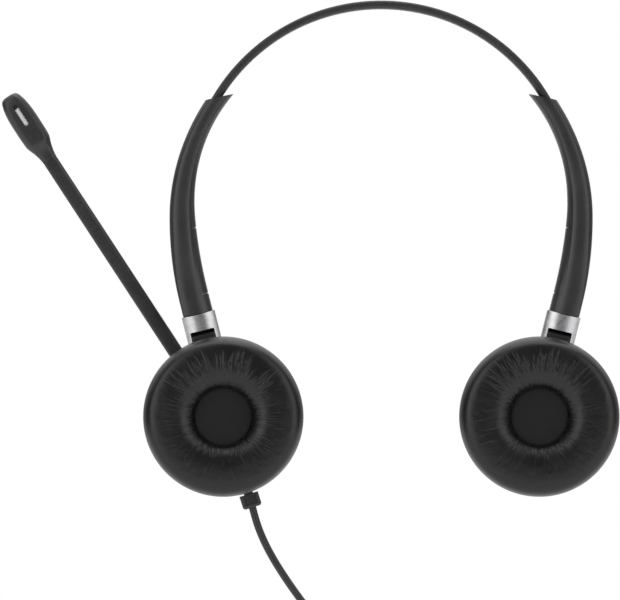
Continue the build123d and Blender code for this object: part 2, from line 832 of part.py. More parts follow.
def make_acoustic_disc():
    """Cloth-covered foam disc in the cushion's hole, held by its thin rim behind the cushion."""
    with BuildPart() as disc:
        add(ring(0, DISC_R, PAD_BACK + 2 * RUN_GAP, SHELL_FRONT - BAFFLE_SCREW_HEAD[1] - RUN_GAP))
        add(ring(0, DISC_FOAM_R, DISC_FRONT, PAD_BACK + 2 * RUN_GAP))
        front_rim = disc.edges().filter_by(GeomType.CIRCLE).sort_by(Axis.Y)[0]
        fillet(front_rim, radius=1)
    return disc


def make_cushion():
    """Round cushion, a plain closed solid with its hole."""
    middle_r = (CUSHION_R + CUSHION_HOLE_R) / 2
    middle_y = -(PAD_BACK + PAD_FRONT) / 2
    with BuildPart() as cushion:
        with BuildSketch(section_plane()):
            with Locations((middle_r, middle_y)):
                RectangleRounded(CUSHION_R - CUSHION_HOLE_R, PAD_BACK - PAD_FRONT, PAD_ROUND)
        revolve(axis=CUP_AXIS)
    return cushion


def make_cushion_ring():
    """Clip ring that carries the cushion, with its lip around the cup and a gap for the fork."""
    with BuildPart() as carrier:
        add(ring(DISC_R + 0.3, CARRIER_R, PAD_BACK + RUN_GAP, SHELL_FRONT - RUN_GAP))
        add(ring(SHELL_R + 2 * RUN_GAP, CARRIER_R, SHELL_FRONT - RUN_GAP, SHELL_FRONT + CARRIER_LIP))
        with BuildSketch(side_plane(-CARRIER_GAP[0] / 2)):
            with Locations((0, PIN_W)):
                Rectangle(CARRIER_GAP[1], CARRIER_GAP[2])
        extrude(amount=CARRIER_GAP[0], mode=Mode.SUBTRACT)
    return carrier


def make_cup_cap():
    """Flat outer cap of the right cup."""
    with BuildPart() as cap:
        add(ring(0, CAP_R, SHELL_BACK, CAP_BACK))
        back_rim = cap.edges().filter_by(GeomType.CIRCLE).sort_by(Axis.Y)[-1]
        chamfer(back_rim, length=0.4)
    return cap


# ---------------------------------------------------------------- left cup extras
LEFT_X = -CUP_X
BOOM_DIR = (-sin(radians(BOOM_ANGLE)), 0, cos(radians(BOOM_ANGLE)))
BOOM_SIDE = (-cos(radians(BOOM_ANGLE)), 0, -sin(radians(BOOM_ANGLE)))
RELIEF_DIR = (sin(radians(RELIEF_ANGLE)), 0, -cos(radians(RELIEF_ANGLE)))


def boom_plane(depth):
    """Plane along the boom: local x towards the microphone, local y to the lower left."""
    x = LEFT_X + BOOM_OFFSET * BOOM_SIDE[0]
    z = BOOM_OFFSET * BOOM_SIDE[2]
    return Plane(origin=(x, depth, z), x_dir=BOOM_DIR, z_dir=(0, -1, 0))


def relief_plane(distance):
    """Plane square to the cable exit, this far from the left cup's centre."""
    x = LEFT_X + RELIEF_DIR[0] * distance
    z = RELIEF_DIR[2] * distance
    return Plane(origin=(x, CABLE_Y, z), x_dir=(0, 1, 0), z_dir=RELIEF_DIR)


def left_face(depth):
    """Plane of the left cup facing the pads, square to the world axes."""
    return Plane(origin=(LEFT_X, depth, 0), x_dir=(1, 0, 0), z_dir=(0, -1, 0))


def left_disc(inner, outer, front, back):
    """Ring or disc about the left cup's axis, between two depths."""
    with BuildPart() as band:
        with BuildSketch(left_face(back)):
            Circle(outer)
            if inner > 0:
                Circle(inner, mode=Mode.SUBTRACT)
        extrude(amount=back - front)
    return band.part


HUB_R = 13.0
HUB_FRONT = 6.8
HUB_BACK = 13.2
HUB_SCREW_R = 1.2
HUB_SCREW_TIP = 12.2
HUB_SCREW_HEAD = 3.3
HUB_SCREW_HEAD_R = 2.6
HUB_SCREW_CROSS = (3.4, 0.7)
WASHER = (4.2, 9.0)


def make_left_shell():
    """Left cup body: mirrored shell with the boom spigot and the cable exit."""
    with BuildPart() as shell:
        mirror(make_cup_shell().part, about=Plane.YZ)
        add(left_disc(0, HUB_SPIGOT_R, SHELL_BACK - 0.5, HUB_SPIGOT_TOP))
        add(left_disc(0, HUB_SCREW_R + RUN_GAP, 0, HUB_SCREW_TIP), mode=Mode.SUBTRACT)
        with BuildSketch(relief_plane(RELIEF_FLANGE)):
            Circle(RELIEF_NECK_R)
        extrude(amount=CUSHION_R - RELIEF_FLANGE, mode=Mode.SUBTRACT)
    return shell


def boom_bar(start, end, front, back):
    """Straight run of the boom, with a plain flat section."""
    with BuildPart() as bar:
        with BuildSketch(boom_plane(back)):
            with Locations(((start + end) / 2, 0)):
                Rectangle(end - start, BOOM_WIDE)
        extrude(amount=back - front)
        along = Vector(*BOOM_DIR)
        fillet(bar.edges().filter_by(lambda e: abs(e.tangent_at(0.5).dot(along)) > 0.99), radius=BOOM_ROUND)
    return bar.part


def make_hub():
    """Round turning hub of the boom, bored for its spigot and screw and slotted for the boom."""
    with BuildPart() as hub:
        add(left_disc(0, HUB_R, HUB_FRONT, HUB_BACK))
        back_rim = hub.edges().filter_by(GeomType.CIRCLE).sort_by(Axis.Y)[-1]
        fillet(back_rim, radius=2)
        add(left_disc(0, HUB_SPIGOT_R + RUN_GAP, HUB_FRONT, HUB_SPIGOT_TOP + 0.2), mode=Mode.SUBTRACT)
        add(left_disc(0, HUB_SCREW_R, HUB_SPIGOT_TOP, HUB_SCREW_TIP), mode=Mode.SUBTRACT)
        add(boom_bar(BOOM_START, 2 * HUB_R, BOOM_FRONT, BOOM_BACK), mode=Mode.SUBTRACT)
    return hub


def make_hub_screw():
    """Screw that turns with the hub, its head inside the cup."""
    with BuildPart() as screw:
        add(left_disc(0, HUB_SCREW_HEAD_R, HUB_SCREW_HEAD, SHELL_BACK - SHELL_WALL - RUN_GAP))
        add(left_disc(0, HUB_SCREW_R, HUB_SCREW_HEAD, HUB_SCREW_TIP))
        with BuildSketch(left_face(HUB_SCREW_HEAD + HUB_SCREW_CROSS[1])):
            Rectangle(HUB_SCREW_CROSS[0], HUB_SCREW_CROSS[1])
            Rectangle(HUB_SCREW_CROSS[1], HUB_SCREW_CROSS[0])
        extrude(amount=HUB_SCREW_CROSS[1], mode=Mode.SUBTRACT)
    return screw


def make_boom_root():
    """Lower boom from the hub to the bend."""
    with BuildPart() as root:
        add(boom_bar(BOOM_START, BEND_S - BEND_GAP, BOOM_FRONT, BOOM_BACK))
        with BuildSketch(boom_plane(BOOM_BACK)):
            with Locations((BEND_S, 0)):
                Circle(KNUCKLE_R + 2 * RUN_GAP)
        extrude(amount=BOOM_BACK - BOOM_FRONT, mode=Mode.SUBTRACT)
    return root


MIC_NECK_S = 116.5
TIP_END_S = 121.0


def make_boom_tip():
    """Upper boom from the bend into the microphone's neck."""
    with BuildPart() as tip:
        add(boom_bar(BEND_S + BEND_GAP, TIP_END_S, BOOM_FRONT, BOOM_BACK))
        with BuildSketch(boom_plane(BOOM_BACK - KNUCKLE_INSET)):
            with Locations((BEND_S, 0)):
                Circle(KNUCKLE_R)
            with Locations((BEND_S + (BEND_GAP + 1) / 2, 0)):
                Rectangle(BEND_GAP + 1, 2 * KNUCKLE_R)
        extrude(amount=BOOM_BACK - BOOM_FRONT - 2 * KNUCKLE_INSET)
    return tip


def mic_outline():
    """Front outline of the microphone head, from its neck to its blunt round tip."""
    with BuildLine(mode=Mode.PRIVATE) as outline:
        flank = Spline(
            (MIC_NECK_S, BOOM_WIDE / 2 + 0.15),
            (121.6, 3.8),
            (125.6, MIC_HALF),
            (133, MIC_HALF),
            (140, 4.8),
            (143.9, 3.3),
            (MIC_TIP_S, 0),
            tangents=[(1, 0), (0, -1)],
        )
        other = mirror(flank, about=Plane.XZ)
        Line(flank @ 0, other @ 0)
    return make_face(outline.line, mode=Mode.PRIVATE)


def make_mic_body():
    """Whole microphone head before it is divided, with its hollow and the boom's socket."""
    with BuildPart() as body:
        with BuildSketch(boom_plane(MIC_BACK)):
            add(mic_outline())
        extrude(amount=MIC_BACK - MIC_FRONT)
        front = body.faces().sort_by(Axis.Y)[0]
        back = body.faces().sort_by(Axis.Y)[-1]
        rims = front.edges() + back.edges()
        chamfer(rims.filter_by(lambda e: e.length > BOOM_WIDE + 1), length=MIC_BEVEL)
    return body


def mic_hollow():
    """Room inside the microphone head for its capsule and the boom's end."""
    with BuildPart() as hollow:
        add(boom_bar(BEND_S, TIP_END_S, BOOM_FRONT, BOOM_BACK))
        with BuildSketch(boom_plane(MIC_BACK - MIC_WALLS[1])):
            with Locations((MIC_ROOM_S, 0)):
                RectangleRounded(*MIC_ROOM)
        extrude(amount=MIC_BACK - MIC_FRONT - sum(MIC_WALLS))
    return hollow.part


def mic_half(body, front, back):
    """One half of the microphone head between two depths."""
    with BuildPart() as half:
        add(body.part)
        add(mic_hollow(), mode=Mode.SUBTRACT)
        with BuildSketch(boom_plane(back)):
            with Locations((MIC_ROOM_S, 0)):
                Rectangle(BEND_S, BEND_S)
        extrude(amount=back - front, mode=Mode.INTERSECT)
    return half


def make_mic_front(body):
    """Front half of the microphone head with its sound slot."""
    with BuildPart() as half:
        add(mic_half(body, MIC_FRONT - 1, MIC_SPLIT).part)
        with BuildSketch(boom_plane(MIC_SPLIT)):
            with Locations((MIC_SLOT_S, 0)):
                SlotOverall(MIC_SLOT_LENGTH, MIC_SLOT_WIDE)
        extrude(amount=MIC_BACK - MIC_FRONT, mode=Mode.SUBTRACT)
    return half


MESH_STRIP = (7.1, 1.35)
MESH_PLATE = (9.4, 3.4)
MESH_PLATE_THICK = 0.35
MESH_STRIP_HIGH = 0.95


def make_mic_mesh():
    """Pale mesh strip set back in the sound slot, on a wider plate inside the head."""
    plate_front = MIC_FRONT + MIC_WALLS[0] + RUN_GAP
    with BuildPart() as mesh:
        with BuildSketch(boom_plane(plate_front)):
            with Locations((MIC_SLOT_S, 0)):
                Rectangle(*MESH_STRIP)
        extrude(amount=MESH_STRIP_HIGH)
        with BuildSketch(boom_plane(plate_front + MESH_PLATE_THICK)):
            with Locations((MIC_SLOT_S, 0)):
                Rectangle(*MESH_PLATE)
        extrude(amount=MESH_PLATE_THICK)
    return mesh


CAPSULE_R = 3.0
CAPSULE_BACK = 12.0
CAPSULE_HIGH = 2.4


def make_mic_element():
    """Microphone capsule inside the head."""
    with BuildPart() as element:
        with BuildSketch(boom_plane(CAPSULE_BACK)):
            with Locations((MIC_SLOT_S - 1, 0)):
                Circle(CAPSULE_R)
        extrude(amount=CAPSULE_HIGH)
    return element


def make_washer():
    """Friction washer between cup and hub."""
    with BuildPart() as washer:
        add(left_disc(*WASHER, SHELL_BACK, HUB_FRONT - 0.1))
    return washer


BOARD_BACK = 4.3
BOARD_THICK = 1.0
BOARD_SIZE = (11.0, 8.0)
BOARD_AT = (-11.5, -8.0)
CHIP_SIZE = (2.6, 3.4)
CHIP_SPACING = 4.2
CHIP_HIGH = 0.7


def make_circuit_board():
    """Small circuit board with two chips, beside the hub screw in the left cup."""
    with BuildPart() as board:
        with BuildSketch(left_face(BOARD_BACK)):
            with Locations(BOARD_AT):
                Rectangle(*BOARD_SIZE)
        extrude(amount=BOARD_THICK)
        with BuildSketch(left_face(BOARD_BACK - BOARD_THICK)):
            with Locations(BOARD_AT):
                with GridLocations(CHIP_SPACING, 1, 2, 1):
                    Rectangle(*CHIP_SIZE)
        extrude(amount=CHIP_HIGH)
    return board


def make_strain_relief():
    """Cable exit: flange inside the cup, neck through its wall and block outside."""
    with BuildPart() as relief:
        with BuildSketch(relief_plane(RELIEF_FLANGE)):
            Circle(RELIEF_FLANGE_R)
        extrude(amount=RELIEF_FLANGE_HIGH)
        with BuildSketch(relief_plane(RELIEF_FLANGE)):
            Circle(RELIEF_NECK_R)
        extrude(amount=RELIEF_BLOCK - RELIEF_FLANGE)
        with BuildSketch(relief_plane(RELIEF_BLOCK)):
            RectangleRounded(*RELIEF_BLOCK_SIZE)
        extrude(amount=RELIEF_BLOCK_LONG)
        exit_face = relief.faces().sort_by(Axis.Z)[0]
        fillet(exit_face.edges(), radius=1.0)
        with BuildSketch(relief_plane(RELIEF_FLANGE)):
            Circle(RELIEF_BORE_R)
        extrude(amount=RELIEF_BLOCK, mode=Mode.SUBTRACT)
        with BuildSketch(relief_plane(CABLE_START)):
            Circle(CABLE_R)
        extrude(amount=RELIEF_BLOCK_LONG, mode=Mode.SUBTRACT)
        with BuildSketch(relief_plane(RELIEF_BLOCK + RELIEF_BLOCK_LONG / 4)):
            with Locations((-RELIEF_BLOCK_SIZE[0] / 2, 0)):
                Rectangle(*RELIEF_GROOVE)
        extrude(amount=RELIEF_BLOCK_LONG / 2, mode=Mode.SUBTRACT)
    return relief


JACK_BOOT_LENGTH = 10.0
JACK_BODY_LENGTH = 17.0
JACK_BODY_R = 4.2
BOOT_RADII = (2.2, 3.0)
GRIP_RIDGES = 5
GRIP_PITCH = 2.0
GRIP_DEPTH = 0.35
COLLAR = 0.5
PIN_RADIUS = 1.75
PIN_CORE_R = 1.0
PIN_LENGTH = 14.0
PIN_TAIL_R = 1.5
PIN_TAIL = 6.0
BODY_TOP = JACK_TOP - JACK_BOOT_LENGTH
BODY_END = BODY_TOP - JACK_BODY_LENGTH


def make_cable():
    """Round cable from the left cup's strain relief to the plug."""
    start = relief_plane(CABLE_START).origin
    with BuildPart() as cable:
        with BuildLine() as path:
            curve = Spline(
                start,
                (-46.8, CABLE_Y, -39.3),
                (-39.2, CABLE_Y, -55.5),
                (-30.0, CABLE_Y, -69.0),
                (JACK_X, CABLE_Y, JACK_TOP + 2),
                tangents=[RELIEF_DIR, (0, 0, -1)],
            )
            Line(curve @ 1, (JACK_X, CABLE_Y, JACK_TOP - 3))
        with BuildSketch(relief_plane(CABLE_START)):
            Circle(CABLE_R)
        sweep(path=path.wires()[0])
    return cable


def jack_plane(height):
    """Level plane on the plug's axis."""
    return Plane(origin=(JACK_X, CABLE_Y, height), x_dir=(1, 0, 0), z_dir=(0, 0, 1))


def jack_tube(inner, outer, low, high):
    """Round tube or rod on the plug's axis."""
    with BuildPart() as tube:
        with BuildSketch(jack_plane(low)):
            Circle(outer)
            if inner > 0:
                Circle(inner, mode=Mode.SUBTRACT)
        extrude(amount=high - low)
    return tube.part


def make_jack_shell():
    """Moulded plug grip with a tapered cable boot."""
    with BuildPart() as grip:
        with BuildSketch(Plane.XZ.offset(-CABLE_Y)):
            with BuildLine():
                Polyline(
                    (JACK_X, JACK_TOP),
                    (JACK_X + BOOT_RADII[0], JACK_TOP),
                    (JACK_X + BOOT_RADII[1], BODY_TOP),
                    (JACK_X + JACK_BODY_R, BODY_TOP - 1.2),
                    (JACK_X + JACK_BODY_R, BODY_END + 0.8),
                    (JACK_X + JACK_BODY_R - 0.8, BODY_END),
                    (JACK_X, BODY_END),
                    close=True,
                )
            make_face()
        revolve(axis=Axis((JACK_X, CABLE_Y, 0), (0, 0, 1)))
        for ridge in range(GRIP_RIDGES):
            height = BODY_TOP - 4.5 - GRIP_PITCH * ridge
            groove = jack_tube(JACK_BODY_R - GRIP_DEPTH, JACK_BODY_R + 1, height, height + GRIP_PITCH / 2.5)
            add(groove, mode=Mode.SUBTRACT)
        add(jack_tube(0, CABLE_R, JACK_TOP - 3, JACK_TOP + 1), mode=Mode.SUBTRACT)
        add(jack_tube(0, PIN_TAIL_R, BODY_END - 1, BODY_END + PIN_TAIL), mode=Mode.SUBTRACT)
    return grip


CONTACT_LONG = 1.5
SLEEVE_LOW = BODY_END - 6.2
RING_LOWS = (SLEEVE_LOW - COLLAR - CONTACT_LONG, SLEEVE_LOW - 2 * (COLLAR + CONTACT_LONG))
TIP_TOP = RING_LOWS[1] - COLLAR
PIN_END = BODY_END - PIN_LENGTH


def make_jack_sleeve():
    """Sleeve contact, the plug's upper and longest."""
    with BuildPart() as sleeve:
        add(jack_tube(PIN_CORE_R, PIN_RADIUS, SLEEVE_LOW, BODY_END))
        add(jack_tube(PIN_CORE_R, PIN_TAIL_R, BODY_END, BODY_END + PIN_TAIL))
    return sleeve


def make_jack_rings():
    """Two ring contacts."""
    with BuildPart() as rings:
        for low in RING_LOWS:
            add(jack_tube(PIN_CORE_R, PIN_RADIUS, low, low + CONTACT_LONG))
    return rings


def make_jack_insulator():
    """Insulating core with the three thin collars between the contacts."""
    with BuildPart() as core:
        add(jack_tube(0, PIN_CORE_R, TIP_TOP, BODY_END + PIN_TAIL))
        for low in (SLEEVE_LOW - COLLAR, RING_LOWS[0] - COLLAR, TIP_TOP):
            add(jack_tube(0, PIN_RADIUS, low, low + COLLAR))
    return core


def make_jack_tip():
    """Tip contact with its waist and rounded nose."""
    with BuildPart() as tip:
        with BuildSketch(Plane.XZ.offset(-CABLE_Y)):
            with BuildLine():
                Polyline(
                    (JACK_X, TIP_TOP),
                    (JACK_X + PIN_RADIUS, TIP_TOP),
                    (JACK_X + 1.3, TIP_TOP - 0.8),
                    (JACK_X + 1.3, TIP_TOP - 1.2),
                    (JACK_X + 1.7, TIP_TOP - 1.8),
                    (JACK_X + 0.7, PIN_END),
                    (JACK_X, PIN_END),
                    close=True,
                )
            make_face()
        revolve(axis=Axis((JACK_X, CABLE_Y, 0), (0, 0, 1)))
    return tip


# ---------------------------------------------------------------- write every piece
save(make_sheath(), "headband_sheath")
save(make_strap(), "headband_strap")
save_pair(make_strap_stop(), "strap_stop")
save(make_rivets(), "strap_rivets")

arm_block = make_arm_block()
hollow_arm = make_hollow_arm(arm_block)
save_pair(make_arm_shell(hollow_arm), "arm_shell")
save_pair(make_channel_cover(hollow_arm), "channel_cover")
save_pair(make_swivel_cover(hollow_arm), "swivel_cover")
save_pair(make_screws(), "arm_screws")
save_pair(make_detent_spring(), "detent_spring")

save_pair(make_fork(), "fork")
save_pair(make_spindle(), "swivel_spindle")
save_pair(make_clip(), "spindle_clip")
save_pair(make_tilt_pin(), "tilt_pin")

save(make_cup_shell(), "cup_shell_right")
save(make_left_shell(), "cup_shell_left")
save_pair(make_baffle(), "baffle")
save_pair(make_baffle_screws(), "baffle_screws")
save_pair(make_driver_basket(), "driver_basket")
save_pair(make_driver_cone(), "driver_cone")
save_pair(make_driver_magnet(), "driver_magnet")
save_pair(make_cushion(), "ear_cushion")
save_pair(make_cushion_ring(), "cushion_ring")
save_pair(make_acoustic_disc(), "acoustic_disc")
save(make_cup_cap(), "cup_cap")

save(make_hub(), "boom_hub")
save(make_washer(), "friction_washer")
save(make_hub_screw(), "hub_screw")
save(make_boom_root(), "boom_root")
save(make_boom_tip(), "boom_tip")
mic_body = make_mic_body()
save(make_mic_front(mic_body), "mic_shell_front")
save(mic_half(mic_body, MIC_SPLIT, MIC_BACK + 1), "mic_shell_rear")
save(make_mic_mesh(), "mic_mesh")
save(make_mic_element(), "mic_element")
save(make_circuit_board(), "circuit_board")
save(make_strain_relief(), "strain_relief")
save(make_cable(), "cable")
save(make_jack_shell(), "jack_shell")
save(make_jack_sleeve(), "jack_sleeve")
save(make_jack_rings(), "jack_rings")
save(make_jack_insulator(), "jack_insulator")
save(make_jack_tip(), "jack_tip")
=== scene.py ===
import json
import math
import random

import bmesh
import bpy
import numpy as np
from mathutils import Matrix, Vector, noise


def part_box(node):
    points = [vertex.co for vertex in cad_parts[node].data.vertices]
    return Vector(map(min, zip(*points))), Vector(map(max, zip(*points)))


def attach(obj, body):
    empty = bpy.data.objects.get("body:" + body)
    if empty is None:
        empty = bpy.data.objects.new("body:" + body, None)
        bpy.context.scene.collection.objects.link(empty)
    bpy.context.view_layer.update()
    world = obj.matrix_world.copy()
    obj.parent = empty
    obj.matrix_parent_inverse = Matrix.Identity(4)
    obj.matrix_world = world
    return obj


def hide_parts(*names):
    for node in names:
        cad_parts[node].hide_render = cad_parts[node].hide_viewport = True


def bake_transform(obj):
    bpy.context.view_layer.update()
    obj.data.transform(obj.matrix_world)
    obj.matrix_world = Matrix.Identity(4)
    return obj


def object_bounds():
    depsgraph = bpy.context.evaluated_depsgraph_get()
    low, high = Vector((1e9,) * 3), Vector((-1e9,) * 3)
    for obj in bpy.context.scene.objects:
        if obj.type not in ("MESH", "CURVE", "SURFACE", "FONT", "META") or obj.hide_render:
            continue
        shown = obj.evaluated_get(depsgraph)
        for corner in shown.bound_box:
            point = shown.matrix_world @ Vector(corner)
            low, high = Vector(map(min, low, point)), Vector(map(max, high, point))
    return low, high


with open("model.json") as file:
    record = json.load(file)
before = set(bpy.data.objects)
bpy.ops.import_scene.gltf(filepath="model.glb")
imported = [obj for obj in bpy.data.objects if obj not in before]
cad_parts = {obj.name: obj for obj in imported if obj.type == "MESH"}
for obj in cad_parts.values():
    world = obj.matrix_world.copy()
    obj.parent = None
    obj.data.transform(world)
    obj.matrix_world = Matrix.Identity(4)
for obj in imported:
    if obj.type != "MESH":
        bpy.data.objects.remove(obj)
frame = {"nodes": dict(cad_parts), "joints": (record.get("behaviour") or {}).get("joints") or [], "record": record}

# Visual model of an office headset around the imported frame. Lengths are in millimetres unless their
# name or comment says otherwise, and MM turns them into metres. Arms are drawn as the right one.

cad_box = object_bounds()
MM = 0.001
SIDES = ("left", "right")
joints = {joint["name"]: joint for joint in frame["joints"]}


# ---------------------------------------------------------------- node helpers
class Shader:
    """A node material with short calls for the textures that the finishes share."""

    def __init__(self, name):
        self.material = bpy.data.materials.new(name)
        self.material.use_nodes = True
        self.tree = self.material.node_tree
        self.surface = self.tree.nodes["Principled BSDF"]

    def node(self, kind, **values):
        made = self.tree.nodes.new(kind)
        for key, value in values.items():
            setattr(made, key, value)
        return made

    def link(self, source, target):
        self.tree.links.new(source, target)

    def place(self, scale=(1, 1, 1), turn=(0, 0, 0)):
        """Object coordinates in metres, stretched by scale and turned, in that order."""
        where = self.node("ShaderNodeTexCoord")
        mapped = self.node("ShaderNodeMapping")
        mapped.inputs["Scale"].default_value = scale
        mapped.inputs["Rotation"].default_value = turn
        self.link(where.outputs["Object"], mapped.inputs["Vector"])
        return mapped.outputs["Vector"]

    def noise(self, vector, scale, detail=4, rough=0.55):
        made = self.node("ShaderNodeTexNoise")
        made.inputs["Scale"].default_value = scale
        made.inputs["Detail"].default_value = detail
        made.inputs["Roughness"].default_value = rough
        self.link(vector, made.inputs["Vector"])
        return made.outputs["Fac"]

    def cells(self, vector, scale, feature="F1"):
        made = self.node("ShaderNodeTexVoronoi", feature=feature)
        made.inputs["Scale"].default_value = scale
        self.link(vector, made.inputs["Vector"])
        return made.outputs["Distance"]

    def wave(self, vector, scale, direction, distortion=0.0):
        made = self.node("ShaderNodeTexWave", bands_direction=direction)
        made.inputs["Scale"].default_value = scale
        made.inputs["Distortion"].default_value = distortion
        self.link(vector, made.inputs["Vector"])
        return made.outputs["Fac"]

    def math(self, operation, first, second):
        made = self.node("ShaderNodeMath", operation=operation)
        for socket, value in zip(made.inputs, (first, second)):
            if isinstance(value, (int, float)):
                socket.default_value = value
            else:
                self.link(value, socket)
        return made.outputs[0]

    def between(self, factor, low, high, start=0.3, end=0.7):
        """Number that runs from low to high as the factor runs from start to end."""
        made = self.node("ShaderNodeMapRange")
        for key, value in (("From Min", start), ("From Max", end), ("To Min", low), ("To Max", high)):
            made.inputs[key].default_value = value
        self.link(factor, made.inputs["Value"])
        return made.outputs["Result"]

    def tint(self, factor, dark, light, start=0.3, end=0.7):
        """Colour that runs from dark to light as the factor runs from start to end."""
        made = self.node("ShaderNodeValToRGB")
        for stop, place, colour in zip(made.color_ramp.elements, (start, end), (dark, light)):
            stop.position = place
            stop.color = (*colour, 1)
        self.link(factor, made.inputs["Fac"])
        self.link(made.outputs["Color"], self.surface.inputs["Base Color"])

    def relief(self, height, depth_mm, strength=1.0, under=None):
        """Bump from a height of 0 to 1, this many millimetres deep."""
        made = self.node("ShaderNodeBump")
        made.inputs["Strength"].default_value = strength
        made.inputs["Distance"].default_value = depth_mm * MM
        self.link(height, made.inputs["Height"])
        if under is not None:
            self.link(under, made.inputs["Normal"])
        self.link(made.outputs["Normal"], self.surface.inputs["Normal"])
        return made.outputs["Normal"]

    def soft_edges(self, radius_mm):
        """Normal rounded at the sharp edges of moulded and machined parts."""
        made = self.node("ShaderNodeBevel", samples=4)
        made.inputs["Radius"].default_value = radius_mm * MM
        return made.outputs["Normal"]

    def put(self, **values):
        for key, value in values.items():
            socket = self.surface.inputs[key.replace("_", " ").title().replace("Ior", "IOR")]
            if isinstance(value, (int, float)):
                socket.default_value = value
            else:
                self.link(value, socket)


def grey(value):
    return (value, value, value * 1.02)


# ---------------------------------------------------------------- finishes
def moulded(name, shade, rough, grain_mm=0.3, depth_mm=0.004, edge_mm=None):
    """Dark moulded plastic with spark-eroded grain, faint handling marks and softened edges."""
    made = Shader(name)
    place = made.place()
    grain = made.noise(place, 1 / (grain_mm * MM), detail=3)
    marks = made.noise(place, 90, detail=5)
    made.tint(marks, grey(shade * 0.86), grey(shade * 1.16))
    streaks = made.noise(made.place((1, 1, 0.25)), 420, detail=4)
    mixed = made.math("ADD", made.math("MULTIPLY", marks, 0.6), made.math("MULTIPLY", streaks, 0.4))
    made.put(roughness=made.between(mixed, rough - 0.04, rough + 0.06), ior=1.5)
    made.relief(grain, depth_mm, strength=0.4, under=made.soft_edges(edge_mm) if edge_mm else None)
    return made.material


def rubber(name, shade, rough):
    """Soft rubber skin: fine pores, dull, slightly uneven."""
    made = Shader(name)
    place = made.place()
    pores = made.noise(place, 5200, detail=2)
    cloudy = made.noise(place, 140, detail=4)
    made.tint(cloudy, grey(shade * 0.82), grey(shade * 1.2))
    made.put(roughness=made.between(cloudy, rough - 0.05, rough + 0.07), ior=1.48)
    made.relief(pores, 0.008, strength=0.5)
    return made.material


def brushed(name, shade, rough, across_deg=0.0, edge_mm=0.2):
    """Satin metal: fine lines along one direction and soft broad patches in its sheen."""
    made = Shader(name)
    turn = (0, math.radians(across_deg), 0)
    lines = made.noise(made.place((700, 700, 5200), turn), 1.0, detail=5, rough=0.6)
    patches = made.noise(made.place(), 520, detail=3)
    made.tint(lines, grey(shade * 0.86), grey(shade * 1.1))
    mixed = made.math("ADD", made.math("MULTIPLY", lines, 0.4), made.math("MULTIPLY", patches, 0.6))
    made.put(metallic=1.0, roughness=made.between(mixed, rough - 0.08, rough + 0.1))
    dents = made.relief(patches, 0.09, strength=0.5, under=made.soft_edges(edge_mm))
    made.relief(lines, 0.004, strength=0.5, under=dents)
    return made.material


def plated(name, colour, rough):
    """Smooth plated metal with fine turning rings and faint smudges."""
    made = Shader(name)
    rings = made.noise(made.place((60, 60, 9000)), 1.0, detail=2)
    smudge = made.noise(made.place(), 300, detail=3)
    made.tint(smudge, tuple(c * 0.88 for c in colour), colour)
    made.put(metallic=1.0, roughness=made.between(smudge, rough, rough + 0.12))
    made.relief(rings, 0.003, strength=0.4)
    return made.material


def leather(name, shade, rough, sheen):
    """Soft black leatherette: pebbled grain, tiny creases and a low sheen."""
    made = Shader(name)
    place = made.place()
    pebbles = made.cells(place, 2600)
    creases = made.cells(place, 900, feature="DISTANCE_TO_EDGE")
    pores = made.noise(place, 6500, detail=2)
    cloudy = made.noise(place, 120, detail=4)
    made.tint(cloudy, grey(shade * 0.8), grey(shade * 1.25))
    made.put(roughness=made.between(cloudy, rough - 0.05, rough + 0.06), ior=1.5)
    made.put(sheen_weight=sheen, sheen_roughness=0.35)
    first = made.relief(pebbles, 0.02, strength=0.4)
    second = made.relief(made.between(creases, 0, 1, 0.0, 0.12), 0.02, strength=0.35, under=first)
    made.relief(pores, 0.006, strength=0.4, under=second)
    return made.material


def woven(name, shade, thread_mm=0.42):
    """Plain black cloth: threads over and under in two directions with fluff on top."""
    made = Shader(name)
    place = made.place()
    pitch = math.pi / (10 * thread_mm * MM)
    warp = made.wave(place, pitch, "X", 0.4)
    weft = made.wave(place, pitch, "Z", 0.4)
    weave = made.math("MAXIMUM", warp, weft)
    fluff = made.noise(place, 4200, detail=4)
    made.tint(made.math("MULTIPLY", weave, fluff), grey(shade * 0.6), grey(shade * 1.25), 0.1, 0.6)
    made.put(roughness=0.95, ior=1.4)
    made.surface.inputs["Sheen Weight"].default_value = 0.1
    first = made.relief(weave, 0.1, strength=0.6)
    made.relief(fluff, 0.03, strength=0.4, under=first)
    return made.material


def pierced(name, shade):
    """Pale woven metal screen with very fine round openings."""
    made = Shader(name)
    place = made.place()
    dots = made.cells(place, 9000)
    made.tint(dots, grey(shade * 0.88), grey(shade), 0.1, 0.4)
    made.put(metallic=0.2, roughness=0.6)
    made.relief(dots, 0.005, strength=0.2)
    return made.material


def laminate(name):
    """Green lacquered board with faint tracks."""
    made = Shader(name)
    tracks = made.wave(made.place(), 260, "X", 2.0)
    made.tint(tracks, (0.01, 0.09, 0.04), (0.03, 0.2, 0.09))
    made.put(roughness=0.25)
    made.relief(tracks, 0.03, strength=0.4)
    return made.material


